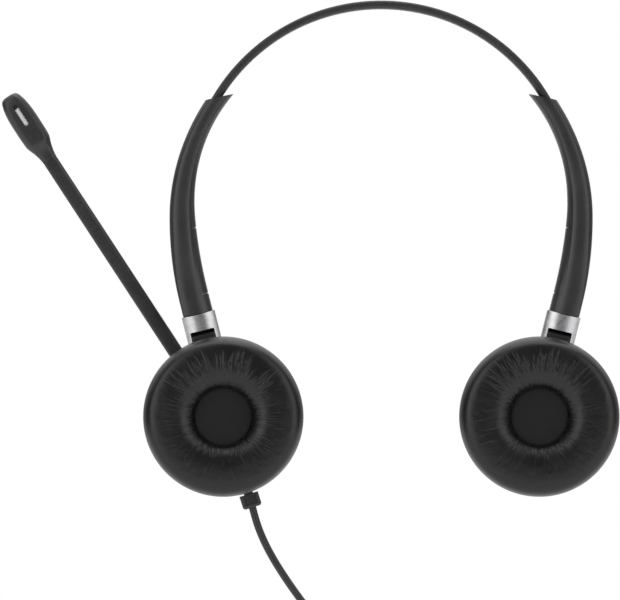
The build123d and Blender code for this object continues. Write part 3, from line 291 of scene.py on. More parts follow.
FINISHES = {
    "band_rubber": rubber("band_soft_rubber", 0.026, 0.45),
    "spring_steel": brushed("spring_strip", 0.5, 0.3),
    "arm_plastic": moulded("arm_satin_plastic", 0.029, 0.32),
    "fork_aluminium": brushed("fork_satin_aluminium", 0.56, 0.31),
    "steel_fixings": plated("fixing_steel", (0.55, 0.55, 0.56), 0.28),
    "cup_plastic": moulded("cup_satin_plastic", 0.026, 0.4, edge_mm=0.2),
    "cushion_leather": leather("cushion_leatherette", 0.002, 0.36, 0.06),
    "disc_fabric": woven("disc_cloth", 0.013),
    "driver_plastic": moulded("driver_plastic", 0.06, 0.5),
    "magnet_steel": plated("magnet_plate", (0.5, 0.5, 0.5), 0.3),
    "boom_plastic": moulded("boom_satin_plastic", 0.028, 0.36),
    "mesh_metal": pierced("mic_mesh_metal", 0.8),
    "board_laminate": laminate("board_green"),
    "cable_rubber": rubber("cable_satin_rubber", 0.026, 0.42),
    "contact_metal": plated("contact_gold", (0.86, 0.66, 0.33), 0.18),
    "insulator_plastic": moulded("insulator_black", 0.012, 0.35, edge_mm=0.05),
}

slot_of = {entry["node"]: entry["material_slot"] for entry in frame["record"]["subparts"]}
for node_name, cad in frame["nodes"].items():
    for place in cad.material_slots:
        place.material = FINISHES[slot_of[node_name]]


# ---------------------------------------------------------------- mesh helpers
WELD = 0.004


def new_object(name, verts, faces):
    """Mesh object from millimetre points."""
    mesh = bpy.data.meshes.new(name)
    mesh.from_pydata([tuple(c * MM for c in v) for v in verts], [], faces)
    mesh.update()
    made = bpy.data.objects.new(name, mesh)
    bpy.context.scene.collection.objects.link(made)
    return made


def finish_piece(piece, finish, body, *nodes, sharp_deg=None):
    """Gives a piece its finish, smooth shading and body, and hides the frame nodes it stands for."""
    mesh = piece.data
    mesh.materials.clear()
    mesh.materials.append(FINISHES[finish])
    for face in mesh.polygons:
        face.use_smooth = True
        face.material_index = 0
    if sharp_deg is not None:
        mesh.set_sharp_from_angle(angle=math.radians(sharp_deg))
    if body:
        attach(piece, body)
    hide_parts(*nodes)


def settled_mesh(piece):
    """The piece's mesh with its modifiers applied; the modifiers are removed."""
    made = bpy.data.meshes.new_from_object(piece.evaluated_get(bpy.context.evaluated_depsgraph_get()))
    piece.modifiers.clear()
    old = piece.data
    piece.data = made
    bpy.data.meshes.remove(old)


def carve(piece, tool, operation="DIFFERENCE"):
    """Cuts a piece with a closed tool, which is then deleted."""
    cut = piece.modifiers.new("cut", "BOOLEAN")
    cut.operation = operation
    cut.solver = "EXACT"
    cut.object = tool
    settled_mesh(piece)
    mesh = tool.data
    bpy.data.objects.remove(tool)
    bpy.data.meshes.remove(mesh)


def clean(piece):
    """Closes the hairline cracks that cuts leave and drops everything but the main closed shell."""
    work = bmesh.new()
    work.from_mesh(piece.data)
    bmesh.ops.remove_doubles(work, verts=work.verts, dist=WELD * MM)
    bmesh.ops.dissolve_degenerate(work, edges=work.edges, dist=WELD * MM)
    shells = []
    left = set(work.faces)
    while left:
        shell = {left.pop()}
        edge_faces = list(shell)
        while edge_faces:
            face = edge_faces.pop()
            near = {other for edge in face.edges for other in edge.link_faces} & left
            left -= near
            shell |= near
            edge_faces += near
        shells.append(shell)
    main = max(shells, key=len)
    bmesh.ops.delete(work, geom=[face for face in work.faces if face not in main], context="FACES")
    work.to_mesh(piece.data)
    work.free()


def copy_of(piece, name):
    made = bpy.data.objects.new(name, piece.data.copy())
    bpy.context.scene.collection.objects.link(made)
    return made


def tube_faces(rings, around, close_ends):
    """Quads of a grid of rings, each with this many points; the rings either close up or end in caps."""
    faces = []
    last = rings - 1 if close_ends else rings
    for i in range(last):
        j = (i + 1) % rings
        for k in range(around):
            n = (k + 1) % around
            faces.append((i * around + k, i * around + n, j * around + n, j * around + k))
    if close_ends:
        faces.append(tuple(reversed(range(around))))
        faces.append(tuple((rings - 1) * around + k for k in range(around)))
    return faces


def mirrored_if(flip, verts, faces):
    """Points and faces mirrored about the middle plane for a left-hand piece."""
    if not flip:
        return verts, faces
    return [(-x, y, z) for x, y, z in verts], [tuple(reversed(face)) for face in faces]


def closed_curve(points, count):
    """Evenly counted points of a smooth closed curve through the given (a, b) points."""
    made = []
    total = len(points)
    for i in range(count):
        place = i * total / count
        k = int(place)
        p = [points[(k + j - 1) % total] for j in range(4)]
        made.append(tuple(spline_value(place - k, *(q[c] for q in p)) for c in range(2)))
    return made


def spline_value(t, before, start, end, after):
    """Smooth curve value at t between start and end, given the values on either side."""
    return 0.5 * (
        2 * start + (end - before) * t
        + (2 * before - 5 * start + 4 * end - after) * t**2
        + (3 * start - before - 3 * end + after) * t**3
    )


def swell(value, low, high):
    """Smooth step from 0 at low to 1 at high."""
    t = min(1.0, max(0.0, (value - low) / (high - low)))
    return t * t * (3 - 2 * t)


def middle(node):
    low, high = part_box(node)
    return (Vector(low) + Vector(high)) / 2


# ---------------------------------------------------------------- shared outline of arm and microphone
BEVEL_STEPS = 8
FACET_STEPS = 14
WALL_STEPS = 3


def crowned_half(low, high, low_bevel, high_bevel, tilt, low_crease, high_crease):
    """Half outline from one wall to the other: (across, drop) points over a crowned facet.

    The drop is measured from the crest. The facet reaches this tilt at its edges, and each bevel
    starts at its crease angle and ends upright.
    """
    left, right = low + low_bevel, high - high_bevel
    centre, reach = (left + right) / 2, (right - left) / 2
    radius = reach / math.sin(tilt)
    edge = radius * (1 - math.cos(tilt))

    def bevel(start_across, wall, width, crease):
        corner = edge + width * math.tan(crease)
        end = corner + 0.8 * width
        made = []
        for i in range(1, BEVEL_STEPS + 1):
            t = i / BEVEL_STEPS
            across = (1 - t) ** 2 * start_across + (1 - (1 - t) ** 2) * wall
            drop = (1 - t) ** 2 * edge + 2 * t * (1 - t) * corner + t * t * end
            made.append((across, drop))
        return made

    facet = []
    for i in range(FACET_STEPS + 1):
        angle = -tilt + 2 * tilt * i / FACET_STEPS
        facet.append((centre + radius * math.sin(angle), radius * (1 - math.cos(angle))))
    before = list(reversed(bevel(left, low, low_bevel, low_crease)))
    return before + facet + bevel(right, high, high_bevel, high_crease)


def closed_outline(half_front, half_back, front_y, back_y):
    """Whole section as (across, y) points: front half, then the back half the other way round."""
    front = [(across, front_y + drop) for across, drop in half_front]
    back = [(across, back_y - drop) for across, drop in reversed(half_back)]
    walls = []
    for start, end in ((front[-1], back[0]), (back[-1], front[0])):
        steps = [i / (WALL_STEPS + 1) for i in range(1, WALL_STEPS + 1)]
        walls.append([tuple(s + (e - s) * t for s, e in zip(start, end)) for t in steps])
    return front + walls[0] + back + walls[1]


# ---------------------------------------------------------------- arms
CUP_X = middle("ear_cushion_right").x / MM
UP = Vector(joints["left_swivel"]["axis"])
LEAN = math.atan2(-UP.x, UP.z)
BAND_Z = Vector(joints["left_extension"]["pos_m"]).z / MM
BAND_HALF_THICK = 1.5
BAND_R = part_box("headband_sheath")[1][2] / MM - BAND_Z - BAND_HALF_THICK
# hollows along the band's arc: inner and outer offset from it, angles in degrees, width
BAND_CHANNEL = (-1.65, 1.65, (13.5, 38.0), 10.3)
STOP_SLOT = (-1.3, 1.4, (5.4, 26.2), 11.4)
SPRING_POCKET = (1.35, 2.6, (5.4, 14.0), 5.0)

ARM_START = 42.0
ARM_STRAIGHT = 4.3
ARM_LOW_R = 148.0
ARM_LOW_LENGTH = 30.0
ARM_TOP_R = 71.0
ARM_LENGTH = 80.0
ARM_HALF_MEAN = 4.525
ARM_HALF_SWING = 1.1
ARM_HALF_DEPTH = 7.0
ARM_REACH = 9.0
ARM_OVERRUN = 12.0
START_SEARCH = (-6.0, 2.0)
END_SEARCH = (60.0, 95.0)
MOUTH_OUTER = Vector((65.3, 118.5))
MOUTH_INNER = Vector((56.2, 120.5))
BALL_R = 22.0
BALL_W = 60.4
FACET_TILT = math.radians(24)
ARM_STATIONS = 90
COVER_START = 4.3
COVER_JOIN = 30.1
SEAM = 0.07
NOTCH_R = 0.3
SCREW_HEIGHTS = (82.0, 64.0)
SCREW_RECESS_R = 2.05
SCREW_RECESS = 1.4
SCREW_TOOL_OUT = 3.0
SHARP_DEG = 28


def arm_point(along, aside):
    """Front-view (x, z) of the right arm, this far up its centreline and this far outside it."""
    heading = math.pi / 2 - LEAN
    x = CUP_X + math.sin(LEAN) * ARM_START
    z = math.cos(LEAN) * ARM_START
    straight = min(along, ARM_STRAIGHT)
    x += straight * math.cos(heading)
    z += straight * math.sin(heading)
    arcs = (
        (ARM_LOW_R, min(along - ARM_STRAIGHT, ARM_LOW_LENGTH)),
        (ARM_TOP_R, along - ARM_STRAIGHT - ARM_LOW_LENGTH),
    )
    for radius, length in arcs:
        if length > 0:
            turned = heading + length / radius
            x += radius * (math.sin(turned) - math.sin(heading))
            z += radius * (math.cos(heading) - math.cos(turned))
            heading = turned
    return Vector((x + aside * math.sin(heading), z - aside * math.cos(heading)))


def arm_half(along):
    return ARM_HALF_MEAN + ARM_HALF_SWING * math.cos(math.pi * along / ARM_LENGTH)


def inner_bevel(along):
    return 1.35 + 1.65 * (1 - swell(along, 0, 60))


def outer_bevel(along):
    return 0.6 + 0.8 * swell(along, 0, 30)


def arm_outline(along):
    """Section of the arm: smooth and round near the fork, creased towards the mouth."""
    half = arm_half(along)
    crease = FACET_TILT + math.radians(22) * swell(along, 4, 34)
    outer_crease = FACET_TILT + math.radians(22) * swell(along, -4, 14)
    side = crowned_half(
        -half, half, inner_bevel(along), outer_bevel(along), FACET_TILT, crease, outer_crease
    )
    return closed_outline(side, side, -ARM_HALF_DEPTH, ARM_HALF_DEPTH)


def height_over_ball(along, across, y):
    """How far a point of the straight lower arm lies above the ball that rounds its end."""
    return ARM_START + along - (BALL_W - math.sqrt(BALL_R**2 - across**2 - y**2))


def beyond_mouth(along, across):
    """How far a point lies beyond the slanted mouth."""
    run = MOUTH_INNER - MOUTH_OUTER
    out = Vector((-run.y, run.x)).normalized()
    if out.y < 0:
        out.negate()
    return (arm_point(along, across) - MOUTH_OUTER).dot(out)


def crossing(test, low, high):
    """Where an increasing test passes zero, by halving."""
    for _ in range(30):
        half = (low + high) / 2
        if test(half) < 0:
            low = half
        else:
            high = half
    return (low + high) / 2


def arm_form(name, flip):
    """Closed outer form of one arm, from its rounded lower end to its slanted mouth."""
    count = len(arm_outline(0))

    def start_test(k):
        return lambda s: height_over_ball(s, *arm_outline(s)[k])

    def end_test(k):
        return lambda s: beyond_mouth(s, arm_outline(s)[k][0])

    starts = [crossing(start_test(k), *START_SEARCH) for k in range(count)]
    ends = [crossing(end_test(k), *END_SEARCH) for k in range(count)]
    verts = []
    low_ring = [arm_outline(starts[k])[k] for k in range(count)]
    for share in (0.35, 0.7):
        for across, y in low_ring:
            a, b = across * share, y * share
            x, z = arm_point(-height_over_ball(0, a, b), a)
            verts.append((x, b, z))
    for i in range(ARM_STATIONS + 1):
        for k in range(count):
            along = starts[k] + (ends[k] - starts[k]) * i / ARM_STATIONS
            across, y = arm_outline(along)[k]
            x, z = arm_point(along, across)
            verts.append((x, y, z))
    faces = tube_faces(ARM_STATIONS + 3, count, True)
    return new_object(name, *mirrored_if(flip, verts, faces))


def arm_strip(start, end, gap, flip, steps=60):
    """Closed tool along the arm's inner side, up to this gap short of its inner crease."""
    verts = []
    for i in range(steps + 1):
        along = start + (end - start) * i / steps
        low = arm_point(along, -ARM_REACH)
        high = arm_point(along, inner_bevel(along) - arm_half(along) - gap)
        for (x, z), side in ((low, -1), (high, -1), (high, 1), (low, 1)):
            verts.append((x, side * ARM_REACH, z))
    return new_object("tool", *mirrored_if(flip, verts, tube_faces(steps + 1, 4, True)))


def band_tool(flip, low, high, angles, wide, steps=40):
    """Closed tool along the band's arc, between two offsets from it and two angles."""
    verts = []
    for i in range(steps + 1):
        angle = math.radians(angles[0] + (angles[1] - angles[0]) * i / steps)
        for offset, aside in ((low, -1), (high, -1), (high, 1), (low, 1)):
            radius = BAND_R + offset
            verts.append((radius * math.cos(angle), aside * wide / 2, BAND_Z + radius * math.sin(angle)))
    return new_object("tool", *mirrored_if(flip, verts, tube_faces(steps + 1, 4, True)))


def rod(start, end, radius, around=32):
    """Closed round tool of this radius between two points."""
    start, end = Vector(start), Vector(end)
    turn = (end - start).to_track_quat("Z", "Y")
    verts = []
    for centre in (start, end):
        for k in range(around):
            angle = 2 * math.pi * k / around
            verts.append(centre + turn @ Vector((radius * math.cos(angle), radius * math.sin(angle), 0)))
    return new_object("tool", verts, tube_faces(2, around, True))


def inner_wall_x(height):
    """X of the right arm's inner wall at this height."""
    points = [arm_point(0.5 * i, -arm_half(0.5 * i)) for i in range(int(2 * ARM_LENGTH))]
    return min(points, key=lambda point: abs(point.y - height)).x


def make_arm(side):
    """One arm: outer shell and two inner covers, parted along the inner crease."""
    flip = side == "left"
    sign = -1 if flip else 1
    body = f"arm_{side}"
    shell = arm_form(f"arm_body_{side}", flip)
    for hollow in (BAND_CHANNEL, STOP_SLOT, SPRING_POCKET):
        carve(shell, band_tool(flip, *hollow))
    for along in (COVER_START, COVER_JOIN):
        x, z = arm_point(along, -arm_half(along))
        carve(shell, rod((sign * x, -ARM_REACH, z), (sign * x, ARM_REACH, z), NOTCH_R))
    beyond = ARM_LENGTH + ARM_OVERRUN
    spans = {
        f"arm_lower_cover_{side}": (COVER_START, COVER_JOIN - SEAM, "swivel_cover"),
        f"arm_upper_cover_{side}": (COVER_JOIN + SEAM, beyond, "channel_cover"),
    }
    for name, (start, end, node) in spans.items():
        cover = copy_of(shell, name)
        carve(cover, arm_strip(start, end, 2 * SEAM, flip), "INTERSECT")
        for height in SCREW_HEIGHTS:
            x = inner_wall_x(height)
            mouth, floor = (sign * (x + depth) for depth in (-SCREW_TOOL_OUT, SCREW_RECESS))
            carve(cover, rod((mouth, 0, height), (floor, 0, height), SCREW_RECESS_R))
        clean(cover)
        finish_piece(cover, "arm_plastic", body, f"{node}_{side}", sharp_deg=SHARP_DEG)
    carve(shell, arm_strip(COVER_START - SEAM, beyond, SEAM, flip))
    clean(shell)
    finish_piece(shell, "arm_plastic", body, f"arm_shell_{side}", sharp_deg=SHARP_DEG)


for side in SIDES:
    make_arm(side)


# ---------------------------------------------------------------- microphone boom
BEND = Vector(joints["boom_bend"]["pos_m"]) / MM
BOOM_LEAN = math.radians(33.2)
BOOM_DIR = Vector((-math.sin(BOOM_LEAN), 0, math.cos(BOOM_LEAN)))
BOOM_SIDE = Vector((math.cos(BOOM_LEAN), 0, math.sin(BOOM_LEAN)))
BEND_ALONG = 80.0
BOOM_HALF = 2.8
BOOM_START = 6.5
BOOM_END = 116.5
BOOM_STATIONS = 110
BOOM_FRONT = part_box("boom_root")[0][1] / MM
BOOM_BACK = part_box("boom_root")[1][1] / MM


def boom_place(along, across, y):
    """Point beside the boom's centreline, this far from the cup's centre along the boom."""
    spot = BEND + BOOM_DIR * (along - BEND_ALONG) + BOOM_SIDE * across
    return (spot.x, y, spot.z)


def boom_skin():
    """One continuous boom from the hub to the microphone's neck, gently crowned with soft edges."""
    tilt, left_crease, right_crease = (math.radians(angle) for angle in (7, 25, 15))
    side = crowned_half(-BOOM_HALF, BOOM_HALF, 0.7, 1.2, tilt, left_crease, right_crease)
    outline = closed_outline(side, side, BOOM_FRONT, BOOM_BACK)
    verts = []
    for i in range(BOOM_STATIONS):
        along = BOOM_START + (BOOM_END - BOOM_START) * i / (BOOM_STATIONS - 1)
        verts += [boom_place(along, across, y) for across, y in outline]
    return new_object("boom_stem", verts, tube_faces(BOOM_STATIONS, len(outline), True))


stem = boom_skin()
finish_piece(stem, "boom_plastic", None, "boom_root", "boom_tip", sharp_deg=60)
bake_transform(stem)


# ---------------------------------------------------------------- microphone head
MIC_SPLIT = 10.7
MIC_GAP = 0.06
MIC_SLOT_ALONG = 136.4
MIC_SLOT = (9.1, 1.75)
MIC_SLOT_FLOOR = 8.5
MIC_SCREEN = (131.9, 139.2, 0.84, 0.12)
MIC_SCREEN_FRONT = 8.0
MIC_SCREEN_THICK = 0.8
MIC_SCREEN_ROWS = 12
MIC_BEVEL = 1.7
MIC_KNOTS = [
    # along, half width, front y, back y
    (116.5, 2.84, 8.85, 12.5),
    (117.0, 2.88, 8.85, 12.5),
    (117.3, 2.9, 9.15, 12.5),
    (119.2, 3.2, 9.1, 12.7),
    (121.6, 3.85, 8.6, 13.2),
    (123.6, 4.6, 7.75, 13.7),
    (125.4, 5.0, 7.5, 13.95),
    (130.0, 5.15, 7.5, 14.0),
    (135.5, 5.1, 7.5, 14.0),
    (138.5, 4.9, 7.5, 14.0),
    (141.1, 4.5, 7.6, 13.9),
    (142.9, 4.0, 7.95, 13.5),
    (143.9, 3.6, 8.4, 13.1),
    (144.6, 3.0, 9.0, 12.5),
    (144.95, 2.2, 9.5, 12.0),
    (145.1, 1.2, 10.0, 11.5),
]
MIC_BETWEEN = 6
MIC_TILT = math.radians(9)
MIC_CREASE = math.radians(38)
MIC_TOOL = (100, 160, 20)


def mic_stations():
    """Smoothly filled stations between the knots of the microphone head."""
    rows = []
    last = len(MIC_KNOTS) - 1
    for i in range(last):
        p = [MIC_KNOTS[min(max(i + j - 1, 0), last)] for j in range(4)]
        for step in range(MIC_BETWEEN):
            rows.append(tuple(spline_value(step / MIC_BETWEEN, *(q[c] for q in p)) for c in range(4)))
    rows.append(MIC_KNOTS[-1])
    return rows


def mic_form(name):
    """Closed form of the whole microphone head: flat crowned face between soft bevels."""
    verts = []
    rows = mic_stations()
    for along, half, front, back in rows:
        bevel = min(MIC_BEVEL, 0.45 * half)
        half_depth = (back - front) / 2
        crease = min(MIC_CREASE, math.atan2(0.55 * half_depth, bevel))
        side = crowned_half(-half, half, bevel, bevel, MIC_TILT, crease, crease)
        deepest = max(drop for _, drop in side)
        fit = min(1.0, 0.95 * half_depth / deepest)
        side = [(across, drop * fit) for across, drop in side]
        outline = closed_outline(side, side, front, back)
        verts += [boom_place(along, across, y) for across, y in outline]
        count = len(outline)
    return new_object(name, verts, tube_faces(len(rows), count, True))


def boom_slab(start, end, half, front, back):
    """Closed block tool square to the boom."""
    corners = ((start, -half), (end, -half), (end, half), (start, half))
    verts = [boom_place(along, across, y) for y in (front, back) for along, across in corners]
    return new_object("tool", verts, tube_faces(2, 4, True))


def slot_tool():
    """Closed tool for the rounded sound slot."""
    length, wide = MIC_SLOT
    radius = wide / 2
    around = 24
    outline = []
    for k in range(around):
        angle = 2 * math.pi * (k + 0.5) / around
        shift = (length / 2 - radius) * (1 if math.cos(angle) > 0 else -1)
        outline.append((MIC_SLOT_ALONG + shift + radius * math.cos(angle), radius * math.sin(angle)))
    verts = [boom_place(along, across, y) for y in (0.0, MIC_SLOT_FLOOR) for along, across in outline]
    return new_object("tool", verts, tube_faces(2, around, True))


def mic_screen():
    """Gently domed strip of screen in the slot, ending short of the slot's upper end."""
    start, end, half, dome = MIC_SCREEN
    rows = [start + (end - start) * i / MIC_SCREEN_ROWS for i in range(MIC_SCREEN_ROWS + 1)]
    verts = []
    for along in rows:
        for across in (-half, -half / 2, 0, half / 2, half):
            verts.append(boom_place(along, across, MIC_SCREEN_FRONT + dome * (across / half) ** 2))
        rear = MIC_SCREEN_FRONT + MIC_SCREEN_THICK
        verts += [boom_place(along, across, rear) for across in (half, -half)]
    return new_object("mic_screen", verts, tube_faces(len(rows), 7, True))


def make_mic():
    """Two halves of the microphone head with a fine parting line and the sound slot in front."""
    rear = mic_form("mic_head_rear")
    front = copy_of(rear, "mic_head_front")
    carve(front, boom_slab(*MIC_TOOL, 0, MIC_SPLIT - MIC_GAP), "INTERSECT")
    carve(front, slot_tool())
    carve(rear, boom_slab(*MIC_TOOL, MIC_SPLIT + MIC_GAP, 30), "INTERSECT")
    finish_piece(front, "boom_plastic", "boom_end", "mic_shell_front", sharp_deg=35)
    finish_piece(rear, "boom_plastic", "boom_end", "mic_shell_rear", sharp_deg=35)
    finish_piece(mic_screen(), "mesh_metal", "boom_end", "mic_mesh", sharp_deg=50)


make_mic()


# ---------------------------------------------------------------- ear cushions
PAD_TURNS = 240
PAD_RING = 25
PAD_DEEP = 12.5
PAD_PROFILE = [
    # radius, height above the cushion's back
    (20.0, 0.1), (14.0, 0.1), (12.1, 0.6), (11.5, 2.0), (11.15, 3.7), (10.85, 5.4), (10.65, 6.8),
    (10.95, 8.0), (11.85, 9.05), (13.1, 10.1), (14.6, 10.95), (16.6, 11.55), (19.2, 11.8),
    (22.0, 11.85), (24.3, 11.7), (26.2, 11.25), (27.7, 10.3), (28.75, 8.8), (29.4, 6.9),
    (29.7, 4.9), (29.6, 3.0), (29.15, 1.4), (28.3, 0.45), (26.8, 0.15), (24.0, 0.1),
]
SIM_CAP = 0.35
SIM_FRAMES = 20
HELD_DEPTH = 2.0
PAD_SEED = 11
SEAM_RISE = (2.4, 0.35, 0.3)
BEAD_RISE = (1.5, 0.4, 0.14)
PUCKER = 0.06
HOLE_PLEATS = 150
UPPER_LINES = 95
SPREAD_LINES = 110


def pad_base(name, node):
    """Round cushion body: deep rounded rim outside, crowned face that rolls into the hole."""
    centre = middle(node) / MM
    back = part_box(node)[1][1] / MM
    ring = closed_curve(PAD_PROFILE, PAD_RING)
    verts = []
    for i in range(PAD_TURNS):
        angle = 2 * math.pi * i / PAD_TURNS
        for radius, rise in ring:
            x, z = radius * math.cos(angle), radius * math.sin(angle)
            verts.append((centre.x + x, back - max(rise, 0.0), centre.z + z))
    return new_object(name, verts, tube_faces(PAD_TURNS, PAD_RING, False))


def settle(piece, node):
    """Swells the cushion as stretched cloth over foam, held along its back, with capped movement."""
    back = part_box(node)[1][1]
    rest = [v.co.copy() for v in piece.data.vertices]
    held = piece.vertex_groups.new(name="held")
    held.add([i for i, p in enumerate(rest) if p.y > back - HELD_DEPTH * MM], 1.0, "REPLACE")
    cloth = piece.modifiers.new("cloth", "CLOTH")
    cloth.settings.quality = 6
    cloth.settings.mass = 0.2
    cloth.settings.tension_stiffness = 8
    cloth.settings.compression_stiffness = 8
    cloth.settings.shear_stiffness = 4
    cloth.settings.bending_stiffness = 0.05
    cloth.settings.use_pressure = True
    cloth.settings.uniform_pressure_force = 4
    cloth.settings.shrink_min = -0.03
    cloth.settings.vertex_group_mass = "held"
    cloth.settings.effector_weights.gravity = 0
    cloth.point_cache.frame_start = 1
    cloth.point_cache.frame_end = SIM_FRAMES
    scene = bpy.context.scene
    for number in range(1, SIM_FRAMES + 1):
        scene.frame_set(number)
    shaped = piece.evaluated_get(bpy.context.evaluated_depsgraph_get()).to_mesh()
    moved = [v.co.copy() for v in shaped.vertices]
    piece.modifiers.clear()
    piece.vertex_groups.clear()
    scene.frame_set(1)
    for vertex, old, new in zip(piece.data.vertices, rest, moved):
        step = new - old
        if step.length > SIM_CAP * MM:
            step *= SIM_CAP * MM / step.length
        vertex.co = old + step


def refine(piece, levels):
    """Subdivides and applies, so that wrinkles can be laid on a fine mesh."""
    subdivision = piece.modifiers.new("fine", "SUBSURF")
    subdivision.levels = levels
    subdivision.render_levels = levels
    settled_mesh(piece)


def window(value, start, rise, end, fall):
    """Smooth hump that climbs from start over rise and falls to zero at end over fall."""
    up = np.clip((value - start) / rise, 0, 1)
    down = np.clip((end - value) / fall, 0, 1)
    return up * up * (3 - 2 * up) * down * down * (3 - 2 * down)


def fold(angle, radius, draw, middle_angle, spread, start, end, width, height):
    """Height of one radial fold that wanders a little as it runs outwards."""
    at = middle_angle + spread * draw.uniform(-1, 1)
    wander = draw.uniform(-0.01, 0.01)
    phase = draw.uniform(0, 2 * math.pi)
    lean = draw.uniform(-0.007, 0.007)
    line = at + lean * (radius - start) + wander * np.sin(0.55 * radius + phase)
    gap = (angle - line + math.pi) % (2 * math.pi) - math.pi
    return height * np.exp(-((gap * radius / width) ** 2)) * window(radius, start, 1.2, end, 3.5)


def folds(angle, radius, draw):
    """All folds of one cushion: pleats round the hole, fine long lines above it, fewer elsewhere."""
    total = np.zeros_like(angle)
    for i in range(HOLE_PLEATS):
        at = 2 * math.pi * i / HOLE_PLEATS
        width, height = draw.uniform(0.16, 0.28), draw.uniform(0.07, 0.2)
        total += fold(angle, radius, draw, at, 0.04, 10.9, draw.uniform(13.5, 17.5), width, height)
    for _ in range(UPPER_LINES):
        start = draw.uniform(14.5, 20)
        end = start + draw.uniform(4, 10)
        width, height = draw.uniform(0.14, 0.22), draw.uniform(0.1, 0.24)
        total += fold(angle, radius, draw, math.pi / 2, 1.0, start, min(end, 27.5), width, height)
    for i in range(SPREAD_LINES):
        at = 2 * math.pi * i / SPREAD_LINES
        start = draw.uniform(14, 21)
        width, height = draw.uniform(0.14, 0.24), draw.uniform(0.03, 0.09)
        total += fold(angle, radius, draw, at, 0.2, start, start + draw.uniform(3.5, 7), width, height)
    return total


def lay_wrinkles(piece, node, seed):
    """Moves the fine mesh along its normals by its folds, soft puckers and the back seam."""
    centre = middle(node)
    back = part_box(node)[1][1]
    mesh = piece.data
    count = len(mesh.vertices)
    spots, normals = np.empty(3 * count), np.empty(3 * count)
    mesh.vertices.foreach_get("co", spots)
    mesh.vertices.foreach_get("normal", normals)
    spots, normals = spots.reshape(-1, 3), normals.reshape(-1, 3)
    x, z = (spots[:, 0] - centre.x) / MM, (spots[:, 2] - centre.z) / MM
    radius, angle = np.hypot(x, z), np.arctan2(z, x)
    rise = (back - spots[:, 1]) / MM
    front = window(rise, 4.0, 2.0, 2 * PAD_DEEP, 1.0)
    rim = window(radius, 26, 2, 40, 1)
    seam, bead = (
        size * np.exp(-(((rise - at) / wide) ** 2)) * rim for at, wide, size in (SEAM_RISE, BEAD_RISE)
    )
    puckers = np.array([noise.noise(Vector((a * 0.45, b * 0.45, seed + 3.0))) for a, b in zip(x, z)])
    soft = PUCKER * puckers * window(radius, 12, 4, 29, 5)
    height = front * (folds(angle, radius, random.Random(seed)) + soft) - seam + bead
    spots += normals * (height * MM)[:, None]
    mesh.vertices.foreach_set("co", spots.ravel())
    mesh.update()


for seed, side in enumerate(SIDES):
    pad_node = f"ear_cushion_{side}"
    pad = pad_base(f"cushion_{side}", pad_node)
    settle(pad, pad_node)
    refine(pad, 2)
    lay_wrinkles(pad, pad_node, PAD_SEED + seed)
    finish_piece(pad, "cushion_leather", f"cup_{side}", pad_node)


# ---------------------------------------------------------------- cloth discs in the holes
DISC_TURNS = 120
DISC_FOAM_R = 10.9
DISC_PROUD = 3.6
DISC_RINGS = 26
DISC_SAG = 0.5
DISC_SLACK = 0.1
FLANGE_THICK = 0.75
FLANGE_EDGE = 0.1


def cloth_disc(name, node):
    """Cloth stretched over a thin foam disc, slightly domed, with its flange behind the cushion."""
    low, high = (Vector(corner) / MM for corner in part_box(node))
    centre = (low + high) / 2
    flange = (high.x - low.x) / 2
    flange_front = high.y - FLANGE_THICK
    rows = []
    for i in range(1, DISC_RINGS + 1):
        share = i / DISC_RINGS
        sag = DISC_SAG * (share**2 + swell(share, 0.94, 1.0))
        rows.append((DISC_FOAM_R * share, low.y - DISC_PROUD + sag))
    rows += [
        (DISC_FOAM_R + 0.05, flange_front - 1.0),
        (DISC_FOAM_R + 0.3, flange_front),
        (flange - FLANGE_EDGE, flange_front),
        (flange, flange_front + FLANGE_EDGE),
        (flange, high.y - FLANGE_EDGE),
        (flange - FLANGE_EDGE, high.y),
    ]
    verts = []
    for radius, y in rows:
        for k in range(DISC_TURNS):
            angle = 2 * math.pi * k / DISC_TURNS
            x, z = radius * math.cos(angle), radius * math.sin(angle)
            slack = noise.noise(Vector((x * 0.2, z * 0.2, centre.x))) if radius < DISC_FOAM_R else 0
            verts.append((centre.x + x, y + DISC_SLACK * slack, centre.z + z))
    faces = [tuple(reversed(face)) for face in tube_faces(len(rows), DISC_TURNS, True)]
    return new_object(name, verts, faces)


for side in SIDES:
    disc = cloth_disc(f"cloth_disc_{side}", f"acoustic_disc_{side}")
    finish_piece(disc, "disc_fabric", f"cup_{side}", f"acoustic_disc_{side}", sharp_deg=50)


# ---------------------------------------------------------------- smooth shading of the frame's nodes
for cad in frame["nodes"].values():
    for face in cad.data.polygons:
        face.use_smooth = True
    cad.data.set_sharp_from_angle(angle=math.radians(SHARP_DEG))


# ---------------------------------------------------------------- stage, light and camera
# Lengths in this section are in metres.
FLOOR_HALF = 1.0
FLOOR_DROP = 0.03


def backdrop():
    """Pale floor that the plug clears at every pose."""
    height = cad_box[0].z - FLOOR_DROP
    signs = ((-1, -1), (1, -1), (1, 1), (-1, 1))
    corners = [(x * FLOOR_HALF / MM, y * FLOOR_HALF / MM, height / MM) for x, y in signs]
    floor = new_object("floor", corners, [(0, 1, 2, 3)])
    paint = Shader("floor_paper")
    paper = paint.noise(paint.place(), 60, detail=3)
    paint.tint(paper, (0.84, 0.84, 0.84), (0.88, 0.88, 0.88))
    paint.put(roughness=0.9)
    floor.data.materials.append(paint.material)


